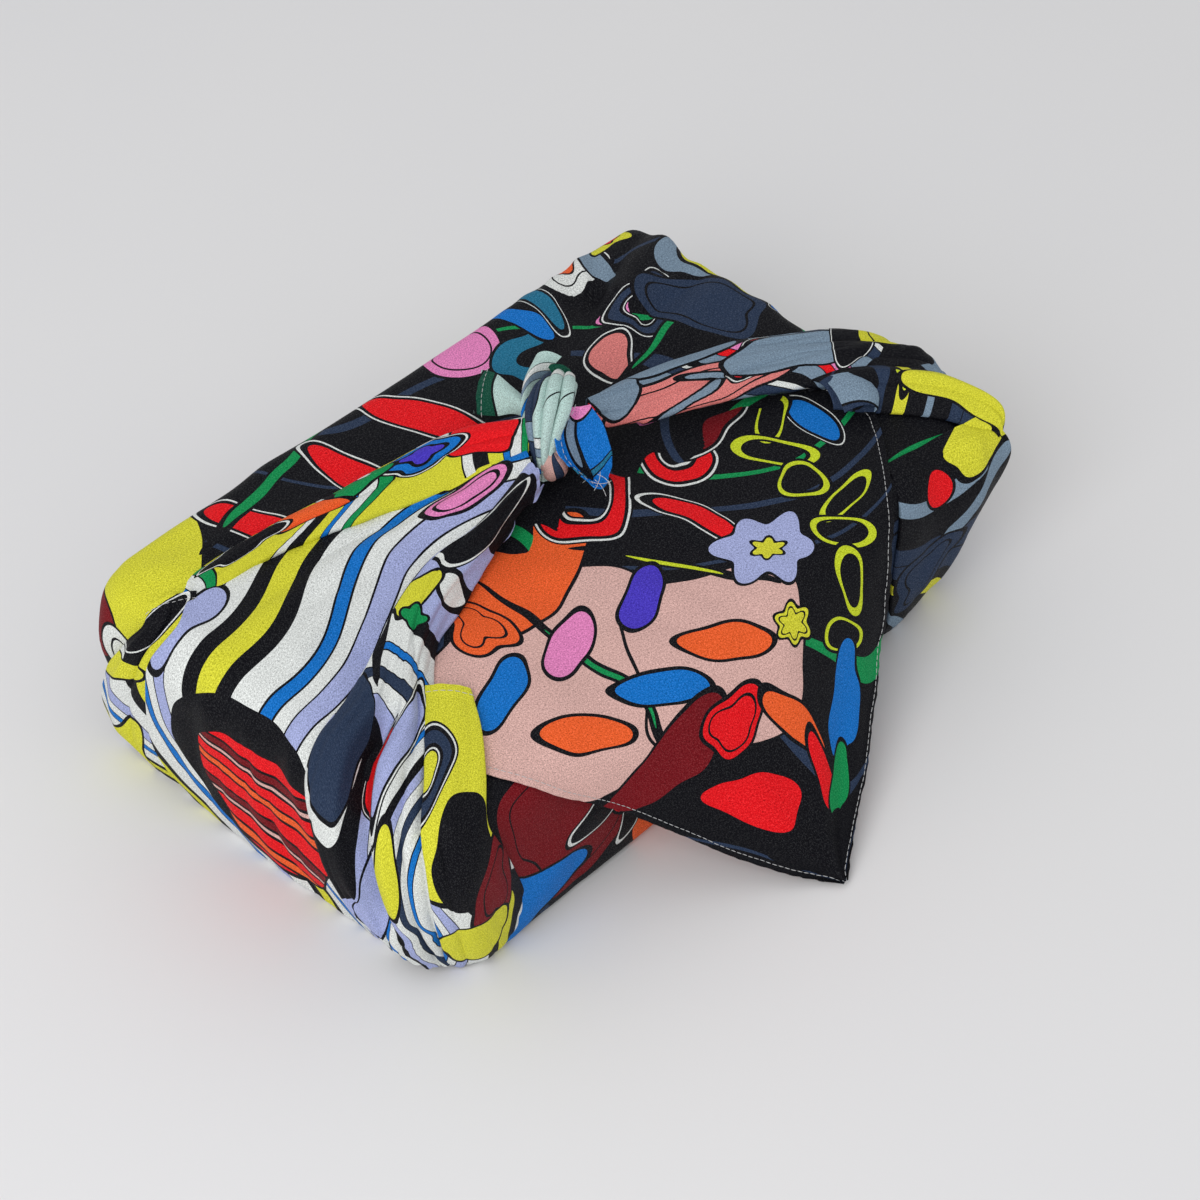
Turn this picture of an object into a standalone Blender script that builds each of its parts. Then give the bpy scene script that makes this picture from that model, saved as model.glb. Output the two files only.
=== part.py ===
"""Furoshiki wrap: one square of printed cloth, folded round a flat oblong parcel and tied on top.

The parcel lies on the floor with its long side along X. The front is -Y: the free corner of the
cloth hangs there as a flap. The two corners at the short ends are drawn up over the top and tied
in a knot near the middle. Everything is one piece of cloth, so everything is one solid.

Tables are in millimetres, with one row for each section across a fold; the model is in metres.
"""

import math

import bpy
from mathutils import Vector

# ---------------------------------------------------------------------------------------------
# Driving dimensions, in metres
# ---------------------------------------------------------------------------------------------
PARCEL_LENGTH = 0.300      # along X, over the cloth
PARCEL_WIDTH = 0.195       # along Y
PARCEL_HEIGHT = 0.083      # to the flat of the top
CORNER_RADIUS = 0.015      # of the upright edges, seen from above
CORE_INSET = 0.035         # folds are deepened towards a core this far inside the parcel

MM = 0.001
SUNK = 26                  # depth in mm of a run that lies on the parcel, well inside it
LIP_WIDTH = 0.25           # share of a run's width in which a thin left edge gets its full depth

# Faces along each side of the parcel, round each of its corners, and round and along the band
END_FACES = 20
SIDE_FACES = 13
CORNER_FACES = 5
BAND_AROUND = 20
BAND_STEPS = 20

CLOTH_COLOUR = (0.10, 0.11, 0.15, 1.0)

# ---------------------------------------------------------------------------------------------
# The parcel: level sections from the floor up, then inwards over the top
# columns: height, inset from the full outline, extra corner radius (mm)
# ---------------------------------------------------------------------------------------------
PARCEL_SECTIONS = [
    (0.0, 6.0, 10.0),
    (1.5, 2.5, 8.0),
    (6.0, 0.0, 6.0),
    (22.0, -1.5, 3.0),
    (44.0, -2.0, 1.0),
    (64.0, -1.5, 0.0),
    (74.0, 0.0, 0.0),
    (79.5, 2.5, 1.0),
    (82.3, 6.5, 3.0),
    (83.0, 13.0, 3.0),
    (83.2, 21.0, 3.0),
    (83.2, 32.0, 3.0),
    (83.0, 46.0, 2.0),
    (82.6, 64.0, -2.0),
    (82.3, 84.0, -9.0),
    (82.2, 95.0, -13.0),
]

# Folds pressed into the parcel's own surface: soft ridges and, with a negative height, troughs.
# columns: name, start x y z, end x y z, half width, height (mm)
PARCEL_FOLDS = [
    ("far left corner, fold over the edge", -128, 72, 84, -156, 88, 50, 9, 2.5),
    ("far left corner, tuck under the fold", -120, 58, 84, -156, 70, 40, 6, -2.0),
    ("far right corner, first peak", 110, 66, 84, 146, 92, 82, 8, 4.5),
    ("far right corner, second peak", 106, 60, 84, 146, 70, 86, 7, 4.5),
    ("far right corner, trough between", 104, 62, 84, 150, 81, 84, 4, -2.5),
    ("far right side, soft roll", 100, 34, 84, 150, 40, 80, 10, 2.5),
    ("back side, pull line", -60, 98, 76, 30, 98, 20, 12, 1.5),
    ("back side, pull line low", 120, 98, 70, 60, 98, 10, 12, 1.8),
    ("front side, pull line", -120, -98, 10, -60, -98, 60, 10, 1.5),
    ("front right corner, drawn in low", 150, -98, 0, 96, -98, 6, 20, -7.0),
    ("front right corner, drawn in up", 152, -98, 30, 150, -98, 0, 18, -5.0),
    ("right end, upright fold", 152, 30, 10, 152, 20, 78, 8, 3.0),
    ("right end, upright tuck", 152, 46, 4, 152, 42, 78, 5, -2.0),
]

# ---------------------------------------------------------------------------------------------
# Cloth that lies over the parcel or stands off it, each a run of sections across it
# columns: left edge x y z, middle x y z, right edge x y z,
#          depth of the solid below the left edge and below the right edge (mm)
# ---------------------------------------------------------------------------------------------
FLAP = [
    (-104, -20, 84.5, 10, -12, 84.5, 122, -38, 84.5, 9, 9),
    (-120, -44, 84.8, 4, -40, 85.0, 126, -54, 84.8, 9, 9),
    (-122, -64, 84.8, 0, -62, 85.4, 120, -66, 85.0, 8, 8),
    (-120, -80, 84.6, 0, -78, 85.4, 110, -78, 84.8, 6, 6),
    (-114, -92, 83.0, -1, -91, 84.4, 100, -89, 83.4, 4, 4),
    (-107, -99, 78.5, -2, -102, 80.4, 91, -98, 79.0, 3, 3),
    (-98, -104, 70.0, -3, -111, 72.5, 84, -104, 71.0, 2, 2),
    (-81, -109, 55.0, -5, -121, 58.5, 76, -111, 54.5, 2, 2),
    (-60, -121, 35.0, -7, -134, 39.0, 60, -121, 37.0, 2, 2),
    (-37, -142, 14.0, -10, -149, 19.5, 32, -141, 20.0, 2, 2),
    (-21, -158, 4.4, -11, -160, 8.0, 4, -158, 9.5, 2, 2),
    (-12.5, -168, 2.6, -11.5, -168, 2.8, -10.5, -168, 3.0, 2, 2),
]

FLAP_INWARDS = Vector((0.0, 0.6, -0.8))    # below the flap and back towards the parcel

LEFT_UPPER_PLEAT = [
    (16, 24, 101, 10, 19, 104, 1, 11, 97, SUNK, SUNK),
    (-4, 46, 92, -8, 36, 98, -20, 22, 93, SUNK, SUNK),
    (-31, 54, 89, -34, 44, 94, -44, 32, 91, SUNK, SUNK),
    (-60, 59, 87, -64, 51, 91, -74, 43, 90, SUNK, SUNK),
    (-88, 65, 85, -92, 58, 89, -101, 51, 89, SUNK, SUNK),
    (-118, 67, 84, -119, 60, 87, -124, 53, 87, SUNK, SUNK),
    (-136, 66, 82, -138, 60, 83, -140, 54, 83, SUNK, SUNK),
]

LEFT_PANEL = [
    (4, 17, 98, 1, 11, 99, -3, 4, 97, SUNK, SUNK),
    (-40, 38, 88, -44, 17, 92, -42, -4, 90, SUNK, SUNK),
    (-96, 56, 86, -94, 21, 89, -90, -12, 87, SUNK, SUNK),
    (-130, 56, 87, -131, 12, 89, -130, -30, 87, SUNK, SUNK),
    (-148, 46, 88, -150, 8, 86, -148, -33, 85, 6, SUNK),
    (-160, 50, 76, -159, 6, 76, -158, -36, 76, 2.5, SUNK),
    (-162, 52, 58, -160, 3, 58, -159, -38, 58, 2.5, SUNK),
    (-162, 54, 38, -159, 0, 38, -159, -44, 40, 2.5, SUNK),
    (-159, 51, 16, -157, -5, 17, -158, -58, 22, 3, SUNK),
    (-153, 45, 0.4, -154, -14, 0.4, -150, -74, 0.4, 9, 16),
]

LEFT_ROLL = [
    (-2, 8, 99, -3, 3, 100, -6, -1, 95, SUNK, SUNK),
    (-20, 4, 96, -23, -1, 98, -26, -5, 91, SUNK, SUNK),
    (-40, 1, 94, -41, -5, 97, -42, -11, 88, SUNK, SUNK),
    (-61, 2, 92, -63, -8, 96, -64, -19, 86, SUNK, SUNK),
    (-87, -6, 91, -87, -17, 95, -85, -27, 86, SUNK, SUNK),
    (-108, -17, 90, -105, -30, 94, -100, -40, 86, SUNK, SUNK),
    (-130, -27, 90, -124, -46, 92, -116, -60, 86, SUNK, SUNK),
    (-149, -32, 88, -145, -56, 90, -132, -77, 86, SUNK, SUNK),
    (-161, -38, 82, -161, -67, 80, -150, -92, 81, SUNK, SUNK),
    (-165, -43, 68, -166, -73, 64, -154, -98, 64, SUNK, SUNK),
    (-165, -48, 51, -166, -78, 46, -154, -99, 46, SUNK, SUNK),
    (-163, -61, 31, -162, -82, 27, -149, -98, 27, SUNK, SUNK),
    (-156, -72, 8, -153, -85, 7, -143, -94, 7, 20, 20),
]

LEFT_HEMMED_CORNER = [
    (-107, -41, 88.5, -101, -47, 90, -95, -54, 88, SUNK, SUNK),
    (-120, -57, 89, -113, -63, 90, -105, -69, 88, SUNK, SUNK),
    (-137, -75, 89, -128, -81, 89.5, -119, -86, 87, SUNK, SUNK),
    (-152, -89, 84, -142, -96, 84.5, -131, -99, 80.5, SUNK, SUNK),
    (-157, -96, 67, -144, -104, 68, -127, -102, 66, SUNK, SUNK),
    (-157, -98, 49, -143, -105.5, 49, -120, -101, 47, SUNK, SUNK),
    (-153, -97, 29, -139, -104, 29, -114, -99.5, 27, SUNK, SUNK),
    (-147, -93, 10, -134, -100, 10, -111, -98, 10, SUNK, SUNK),
    (-142, -90, 1, -132, -95, 0.8, -111, -94.5, 1, 16, 14),
]

RIGHT_STRAND = [
    (36, 14, 100, 34, 10, 104, 33, 4, 97, 12, 12),
    (56, 13, 100, 56, 5, 101, 54, -5, 95, 3, 3),
    (80, 9, 98, 80, -3, 99, 77, -14, 94, 3, 3),
    (104, 3, 95, 102, -11, 97, 97, -23, 92, 3, 3),
    (126, -6, 92, 122, -20, 95, 114, -32, 91, 16, 16),
    (147, -16, 89, 142, -34, 93, 128, -44, 90, SUNK, SUNK),
    (161, -22, 80, 163, -52, 86, 147, -66, 90, SUNK, SUNK),
    (163, -14, 62, 166, -62, 68, 156, -94, 80, SUNK, SUNK),
    (161, -4, 36, 162, -58, 40, 154, -98, 54, SUNK, SUNK),
    (158, 6, 14, 157, -50, 15, 150, -90, 28, SUNK, SUNK),
    (153, 12, 0.6, 152, -44, 0.6, 140, -82, 0.8, 16, 16),
]

RIGHT_ROLL = [
    (116, -30, 90, 117, -39, 91, 115, -46, 86, SUNK, SUNK),
    (130, -38, 92, 128, -49, 93, 123, -57, 86, SUNK, SUNK),
    (144, -52, 93, 141, -62, 94, 133, -69, 86, SUNK, SUNK),
    (155, -70, 92, 153, -79, 92, 145, -85, 84, SUNK, SUNK),
    (160, -88, 87, 159, -96, 86, 151, -99, 78, SUNK, SUNK),
    (158, -93, 73, 155, -99, 71, 149, -100, 66, SUNK, SUNK),
]

RIGHT_CORNER = [
    (106, -82, 84.4, 130, -86, 84.6, 150, -90, 85, SUNK, SUNK),
    (99, -95, 81, 130, -97, 81, 155, -99, 81, SUNK, SUNK),
    (95, -100.5, 70, 129, -103, 70, 158, -103, 70, SUNK, SUNK),
    (93, -101.5, 52, 127, -104, 54, 157, -101, 56, SUNK, SUNK),
    (93, -101, 32, 126, -102, 34, 154, -95, 38, SUNK, SUNK),
    (95, -98, 14, 122, -97, 15, 148, -89, 18, SUNK, SUNK),
    (98, -92, 0.5, 120, -90, 0.5, 140, -83, 0.5, 16, 16),
]

# Pleats along the runs of cloth: ridges and, with a negative height, troughs.
# columns: place across at the start (0 left edge, 1 right edge), place along at the start,
#          place across at the end, place along at the end, half width across, height (mm)
FLAP_PLEATS = [
    (0.25, 0.25, 0.40, 0.85, 0.10, 1.2),
    (0.62, 0.35, 0.55, 0.90, 0.09, 1.4),
    (0.85, 0.40, 0.75, 0.85, 0.08, -1.0),
]
LEFT_PANEL_PLEATS = [
    (0.45, 0.10, 0.30, 0.45, 0.10, 1.0),
    (0.70, 0.15, 0.75, 0.75, 0.10, -1.2),
]
LEFT_ROLL_PLEATS = [
    (0.55, 0.05, 0.35, 0.45, 0.14, -1.6),
    (0.16, 0.52, 0.14, 0.88, 0.12, 2.0),
    (0.42, 0.58, 0.46, 0.84, 0.085, -6.5),
    (0.64, 0.50, 0.68, 0.92, 0.09, 2.4),
    (0.86, 0.54, 0.86, 0.95, 0.06, -2.0),
]
RIGHT_STRAND_PLEATS = [
    (0.22, 0.02, 0.30, 0.50, 0.12, 1.6),
    (0.48, 0.04, 0.55, 0.45, 0.12, -1.4),
    (0.45, 0.60, 0.40, 0.95, 0.10, 1.8),
]
RIGHT_CORNER_PLEATS = [
    (0.35, 0.05, 0.30, 0.60, 0.14, -1.8),
    (0.70, 0.15, 0.60, 0.80, 0.12, 1.2),
]

# ---------------------------------------------------------------------------------------------
# The knot: one gathered band over the crossing, a rolled lump below it, a standing fold and two
# free ends.  Band columns: centre x y z, half width, half thickness (mm)
# ---------------------------------------------------------------------------------------------
KNOT_BAND = [
    (5, 7, 86, 4.5, 3.5),
    (7, 8, 95, 5.5, 4.0),
    (11, 11, 105, 7.5, 5.0),
    (19, 15, 112, 9.0, 5.5),
    (29, 22, 111, 8.5, 5.5),
    (37, 28, 102, 7.0, 5.0),
    (40, 31, 90, 5.5, 4.0),
]
KNOT_BAND_ACROSS = Vector((0.62, -0.72, 0.30))   # the way the band's width runs
KNOT_PLEATS = 4
KNOT_PLEAT_DEPTH = 0.0009

KNOT_LUMPS = [
    ("lump below the band", 8, 3, 91, 7.5, 6.5, 7.5),
    ("crossing under the band", 20, 13, 95, 17.0, 12.0, 10.5),
]

KNOT_STANDING_FOLD = [
    (19, 24, 97, 23, 28, 99, 27, 33, 97, 5, 5),
    (22, 29, 104, 25, 32, 106, 29, 37, 103, 3, 3),
    (28, 27, 111, 31, 30, 112, 34, 36, 109, 2.5, 2.5),
    (36, 28, 112, 38, 31, 113, 40, 35, 111, 2.5, 2.5),
]
STANDING_FOLD_INWARDS = Vector((0.54, -0.54, -0.65))    # towards the band

FRONT_END = [
    (22, 11, 112, 25, 8, 113, 29, 6, 111, 6, 6),
    (13, 6, 109, 20, 1, 107, 27, -2, 108, 3, 3),
    (9, -2, 102, 16, -6, 101.5, 23, -10, 103, 2.5, 2.5),
    (10, -9, 97, 15, -12, 96, 20, -15, 99, 2.5, 2.5),
    (11, -16, 92.5, 12.5, -17, 92.5, 14.5, -18, 93, 2.5, 2.5),
]

BACK_END = [
    (19, 18, 95, 20, 21, 98, 24, 25, 96, 6, 6),
    (19, 35, 93, 21, 39, 98, 27, 45, 96, 3, 3),
    (15, 43, 90, 20, 50, 94.5, 29, 57, 95, 2.5, 2.5),
    (12, 52, 87.2, 19, 58, 90.5, 29, 65, 92, 2.5, 2.5),
]


# ---------------------------------------------------------------------------------------------
# Curves and sections
# ---------------------------------------------------------------------------------------------
def spline(values, t):
    """Smooth curve through evenly spaced values, for t from 0 to 1."""
    last = len(values) - 1
    place = min(max(t, 0.0), 1.0) * last
    i = min(int(place), last - 1)
    f = place - i
    p1 = values[i]
    p2 = values[i + 1]
    p0 = values[i - 1] if i > 0 else 2 * p1 - p2
    p3 = values[i + 2] if i + 2 <= last else 2 * p2 - p1
    pull = 3 * (p1 - p2) + p3 - p0
    bend = 2 * p0 - 5 * p1 + 4 * p2 - p3
    return p1 + 0.5 * f * ((p2 - p0) + f * (bend + f * pull))


def arc_through(left, middle, right, t):
    """Parabola that starts at left, passes through middle at t = 0.5 and ends at right."""
    return left * (1 - t) * (1 - 2 * t) + middle * 4 * t * (1 - t) + right * t * (2 * t - 1)


def towards_core(point):
    """Unit direction from a point of the cloth to the nearest point deep inside the parcel."""
    core = Vector((
        clamp(point.x, PARCEL_LENGTH / 2 - CORE_INSET),
        clamp(point.y, PARCEL_WIDTH / 2 - CORE_INSET),
        PARCEL_HEIGHT / 2 + clamp(point.z - PARCEL_HEIGHT / 2, PARCEL_HEIGHT / 2 - CORE_INSET),
    ))
    return (core - point).normalized()


def clamp(value, limit):
    return min(max(value, -limit), limit)


def distance_to_segment(point, start, end):
    along = end - start
    t = max(0.0, min(1.0, (point - start).dot(along) / along.length_squared))
    return (point - (start + along * t)).length


def rounded_outline(half_x, half_y, radius):
    """Counter-clockwise rounded rectangle, starting on +X, as a list of x, y pairs."""
    radius = max(1.5 * MM, min(radius, half_x - 0.5 * MM, half_y - 0.5 * MM))
    centres = [(1, -1, -90), (1, 1, 0), (-1, 1, 90), (-1, -1, 180)]
    points = []
    for index, (side_x, side_y, first_angle) in enumerate(centres):
        cx = side_x * (half_x - radius)
        cy = side_y * (half_y - radius)
        for k in range(CORNER_FACES + 1):
            angle = math.radians(first_angle + 90 * k / CORNER_FACES)
            points.append((cx + radius * math.cos(angle), cy + radius * math.sin(angle)))
        next_x, next_y, next_angle = centres[(index + 1) % 4]
        nx = next_x * (half_x - radius) + radius * math.cos(math.radians(next_angle))
        ny = next_y * (half_y - radius) + radius * math.sin(math.radians(next_angle))
        px, py = points[-1]
        count = END_FACES if index % 2 == 0 else SIDE_FACES
        for k in range(1, count):
            t = k / count
            points.append((px + (nx - px) * t, py + (ny - py) * t))
    return points


# ---------------------------------------------------------------------------------------------
# Meshes
# ---------------------------------------------------------------------------------------------
def cloth_material():
    material = bpy.data.materials.new("printed crepe")
    material.use_nodes = True
    shader = material.node_tree.nodes["Principled BSDF"]
    shader.inputs["Base Color"].default_value = CLOTH_COLOUR
    shader.inputs["Roughness"].default_value = 0.75
    shader.inputs["Metallic"].default_value = 0.0
    return material


def new_object(name, points, faces, collection):
    mesh = bpy.data.meshes.new(name)
    mesh.from_pydata(points, [], faces)
    mesh.validate()
    obj = bpy.data.objects.new(name, mesh)
    collection.objects.link(obj)
    return obj


def tube_faces(rings, around):
    """Quads between closed rings, with a flat cap on the first and the last."""
    faces = []
    for r in range(rings - 1):
        for k in range(around):
            a = r * around + k
            b = r * around + (k + 1) % around
            faces.append((a, b, b + around, a + around))
    faces.append(tuple(reversed(range(around))))
    faces.append(tuple(range((rings - 1) * around, rings * around)))
    return faces


def parcel(collection):
    """The wrapped block: rounded sections up the sides and in over the top, with its folds."""
    points = []
    for height, inset, extra in PARCEL_SECTIONS:
        outline = rounded_outline(
            PARCEL_LENGTH / 2 - inset * MM,
            PARCEL_WIDTH / 2 - inset * MM,
            CORNER_RADIUS + extra * MM,
        )
        points += [Vector((x, y, height * MM)) for x, y in outline]
    points = [point + fold_relief(point) for point in points]
    around = len(points) // len(PARCEL_SECTIONS)
    for point in points[:around]:
        point.z = 0.0
    return new_object("parcel", points, tube_faces(len(PARCEL_SECTIONS), around), collection)


def fold_relief(point):
    """How far the parcel's folds push this point of its surface outwards."""
    height = 0.0
    for _, x1, y1, z1, x2, y2, z2, width, rise in PARCEL_FOLDS:
        start = Vector((x1, y1, z1)) * MM
        end = Vector((x2, y2, z2)) * MM
        away = distance_to_segment(point, start, end) / (width * MM)
        if away < 3:
            height += rise * MM * math.exp(-away * away)
    if point.z < MM:
        height = min(height, 0.0)
    return towards_core(point) * -height


def cloth_run(name, sections, pleats, across, along, collection, inwards=None):
    """A closed slab of cloth through its sections, as deep below its face as they say.

    It is deepened towards the parcel's core, or along inwards where that is given.
    """
    columns = list(zip(*sections))
    lowest = min(columns[2] + columns[5] + columns[8]) * MM
    outer = []
    inner = []
    for j in range(along + 1):
        t = j / along
        values = [spline(column, t) for column in columns]
        left = Vector(values[0:3]) * MM
        middle = Vector(values[3:6]) * MM
        right = Vector(values[6:9]) * MM
        for i in range(across + 1):
            s = i / across
            face = arc_through(left, middle, right, s)
            deeper = inwards or towards_core(face)
            sunk = min(s / LIP_WIDTH, 1.0)
            depth = (values[9] * (1 - sunk) + values[10] * sunk) * MM
            ridge = deeper * -pleat_relief(pleats, s, t)
            outer.append(not_below(face + ridge, lowest))
            inner.append(not_below(face + deeper * depth, lowest))
    obj = new_object(name, outer + inner, slab_faces(across, along), collection)
    face_outwards(obj)
    return obj


def not_below(point, lowest):
    return Vector((point.x, point.y, max(point.z, lowest)))


def pleat_relief(pleats, s, t):
    """Height of a run's pleats at a place across it and along it."""
    height = 0.0
    for s1, t1, s2, t2, width, rise in pleats:
        along = (t - t1) / (t2 - t1)
        if -0.25 < along < 1.25:
            middle = s1 + (s2 - s1) * along
            fade = math.sin(math.pi * (along + 0.25) / 1.5) ** 0.6
            height += rise * MM * fade * math.exp(-(((s - middle) / width) ** 2))
    return height


def slab_faces(across, along):
    """Quads of two like grids, the second below the first, joined round their edge."""
    wide = across + 1
    count = wide * (along + 1)
    faces = []
    for j in range(along):
        for i in range(across):
            a = j * wide + i
            faces.append((a, a + 1, a + 1 + wide, a + wide))
            faces.append((count + a, count + a + wide, count + a + 1 + wide, count + a + 1))
    rim = list(range(wide))
    rim += [j * wide + across for j in range(1, along + 1)]
    rim += [along * wide + i for i in range(across - 1, -1, -1)]
    rim += [j * wide for j in range(along - 1, 0, -1)]
    for a, b in zip(rim, rim[1:] + rim[:1]):
        faces.append((b, a, count + a, count + b))
    return faces


def face_outwards(obj):
    """Turn the faces over where a closed mesh holds a negative volume."""
    volume = 0.0
    mesh = obj.data
    mesh.calc_loop_triangles()
    for triangle in mesh.loop_triangles:
        a, b, c = (mesh.vertices[i].co for i in triangle.vertices)
        volume += a.dot(b.cross(c))
    if volume < 0:
        mesh.flip_normals()


def knot_band(collection):
    """The gathered band: rounded sections along its arch, ridged by its pleats."""
    columns = list(zip(*KNOT_BAND))
    points = []
    for j in range(BAND_STEPS + 1):
        t = j / BAND_STEPS
        centre = Vector([spline(column, t) for column in columns[0:3]]) * MM
        ahead = Vector([spline(column, min(t + 0.02, 1.0)) for column in columns[0:3]]) * MM
        behind = Vector([spline(column, max(t - 0.02, 0.0)) for column in columns[0:3]]) * MM
        tangent = (ahead - behind).normalized()
        across = (KNOT_BAND_ACROSS - tangent * KNOT_BAND_ACROSS.dot(tangent)).normalized()
        up = tangent.cross(across)
        half_width = spline(columns[3], t) * MM
        half_thick = spline(columns[4], t) * MM
        for k in range(BAND_AROUND):
            angle = 2 * math.pi * k / BAND_AROUND
            ridge = 1.0 + KNOT_PLEAT_DEPTH / half_thick * math.cos(2 * KNOT_PLEATS * angle)
            side = across * half_width * math.cos(angle)
            lift = up * half_thick * math.sin(angle) * ridge
            points.append(centre + side + lift)
    faces = tube_faces(BAND_STEPS + 1, BAND_AROUND)
    obj = new_object("knot band", points, faces, collection)
    face_outwards(obj)
    return obj


def knot_lumps(collection):
    lumps = []
    for name, x, y, z, radius_x, radius_y, radius_z in KNOT_LUMPS:
        bpy.ops.mesh.primitive_uv_sphere_add(segments=16, ring_count=9, radius=1.0)
        lump = bpy.context.active_object
        lump.name = name
        for vertex in lump.data.vertices:
            co = vertex.co
            vertex.co = Vector((
                (x + co.x * radius_x) * MM,
                (y + co.y * radius_y) * MM,
                (z + co.z * radius_z) * MM,
            ))
        move_to(lump, collection)
        lumps.append(lump)
    return lumps


def move_to(obj, collection):
    for owner in list(obj.users_collection):
        owner.objects.unlink(obj)
    collection.objects.link(obj)


def united(body, folds, material):
    """Join every fold to the parcel, so the cloth is one closed solid."""
    for piece in list(folds.objects) + [body]:
        piece.modifiers.new("flat faces", "TRIANGULATE")
    for piece in folds.objects:
        piece.hide_render = True
        piece.display_type = "WIRE"
    union = body.modifiers.new("folds joined", "BOOLEAN")
    union.operation = "UNION"
    union.solver = "EXACT"
    union.operand_type = "COLLECTION"
    union.collection = folds
    body.data.materials.append(material)
    for polygon in body.data.polygons:
        polygon.use_smooth = True


def clear_scene():
    for obj in list(bpy.data.objects):
        bpy.data.objects.remove(obj, do_unlink=True)


def new_collection(name):
    collection = bpy.data.collections.new(name)
    bpy.context.scene.collection.children.link(collection)
    return collection


def main():
    clear_scene()
    model = new_collection("furoshiki wrap")
    folds = new_collection("folds to join")

    cloth = parcel(model)
    cloth.name = "furoshiki_cloth"
    cloth_run("left panel", LEFT_PANEL, LEFT_PANEL_PLEATS, 8, 20, folds)
    cloth_run("left upper pleat", LEFT_UPPER_PLEAT, [], 5, 12, folds)
    cloth_run("left roll and ear", LEFT_ROLL, LEFT_ROLL_PLEATS, 14, 24, folds)
    cloth_run("left hemmed corner", LEFT_HEMMED_CORNER, [], 4, 12, folds)
    cloth_run("right strand and end", RIGHT_STRAND, RIGHT_STRAND_PLEATS, 8, 22, folds)
    cloth_run("right corner", RIGHT_CORNER, RIGHT_CORNER_PLEATS, 8, 10, folds)
    cloth_run("right roll", RIGHT_ROLL, [], 5, 12, folds)
    cloth_run("flap", FLAP, FLAP_PLEATS, 14, 18, folds, FLAP_INWARDS)
    knot_band(folds)
    knot_lumps(folds)
    cloth_run("standing fold", KNOT_STANDING_FOLD, [], 4, 5, folds, STANDING_FOLD_INWARDS)
    cloth_run("front end", FRONT_END, [], 4, 7, folds)
    cloth_run("back end", BACK_END, [], 4, 6, folds)
    united(cloth, folds, cloth_material())


main()
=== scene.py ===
"""Furoshiki wrap: one square of printed crepe, tied round a flat oblong parcel.

Every length of folded cloth is a thin sheet laid through the sections of its table, with its
rolled or hemmed edges, creases and pleats. Tables are in millimetres, the scene is in metres.
"""

import math

import bmesh
import bpy
import numpy as np
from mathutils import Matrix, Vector, noise


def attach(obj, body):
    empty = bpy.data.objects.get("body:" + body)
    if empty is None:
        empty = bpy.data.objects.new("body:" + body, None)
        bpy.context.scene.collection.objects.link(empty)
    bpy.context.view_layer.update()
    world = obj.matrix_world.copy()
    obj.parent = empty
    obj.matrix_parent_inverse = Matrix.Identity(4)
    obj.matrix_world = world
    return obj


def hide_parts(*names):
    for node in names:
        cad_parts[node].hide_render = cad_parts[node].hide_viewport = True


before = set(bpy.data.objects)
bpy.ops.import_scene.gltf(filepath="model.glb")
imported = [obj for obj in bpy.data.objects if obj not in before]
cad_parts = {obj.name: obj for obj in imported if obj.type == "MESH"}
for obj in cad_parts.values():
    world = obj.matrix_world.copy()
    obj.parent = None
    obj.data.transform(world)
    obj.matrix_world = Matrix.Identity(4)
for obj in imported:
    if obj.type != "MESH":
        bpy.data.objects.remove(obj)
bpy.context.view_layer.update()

# ---- Sizes, in mm apart from the camera's ----
MM = 0.001
PARCEL_LENGTH = 300
PARCEL_WIDTH = 195
PARCEL_HEIGHT = 83
CORNER_RADIUS = 15
CORE_INSET = 35              # folds face away from a core this far inside the parcel
CLOTH_THICKNESS = 0.5
LIFT = 0.3                   # the runs stay this far over the floor
PARCEL_UNEVEN = (26, 0.45)   # size and height of the soft unevenness of the parcel's cloth
RUN_UNEVEN_SIZE = 17
PARCEL_RINGS = 76
CORNER_STEPS = 16            # cells round each upright corner of the parcel
SIDE_STEPS = (64, 100, 64, 100)
FLOOR_REACH = 6              # the parcel's ridges die out this near the floor
FOLD_FADE = 0.1              # share of a run's length over which its folds die out
ROLL_STEPS = 6
HEM_WIDTH = 4.5
HEM_RISE = 0.35
HEM_SLOPE = 0.8              # width of the step from the hem to the cloth
ROPE_RISE = 0.22             # the twist that a rolled hem takes along its edge
STITCH_PLACE = 0.78          # share of the hem's width
STITCH_PROUD = 0.07
STITCH_PITCH = 2.6
STITCH_LENGTH = 2.2
STITCH_WIDTH = 0.30
INK_LINE = 0.65              # half width of a motif's outline
INNER_LINE = 0.4             # half width of the second line inside it
HAND_WOBBLE = 6              # how far the motifs' outlines wander
GRAIN = 0.36                 # size of the crepe's grain
GRAIN_HEIGHT = 0.25
THREAD_TWIST_HEIGHT = 0.08
BAND_INK = 0.012             # share of a set of bands that each ink line between them takes
PAINTED_GLINT_SHARE = 0.045          # how far the painted glints on the raised threads pale the colour towards white

CAMERA_AZIMUTH = -46.055
CAMERA_ELEVATION = 44.824
CAMERA_TARGET = (0.0129, -0.0159, 0.03)
CAMERA_DISTANCE = 1.3506
CAMERA_LENS = 102.0


# ---- Colours of the print ----
def linear(*levels):
    """A colour given as 0 to 255 on a screen, as the renderer counts light."""
    shares = [level / 255 for level in levels]
    return (*(s / 12.92 if s < 0.04045 else ((s + 0.055) / 1.055) ** 2.4 for s in shares), 1.0)


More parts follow.
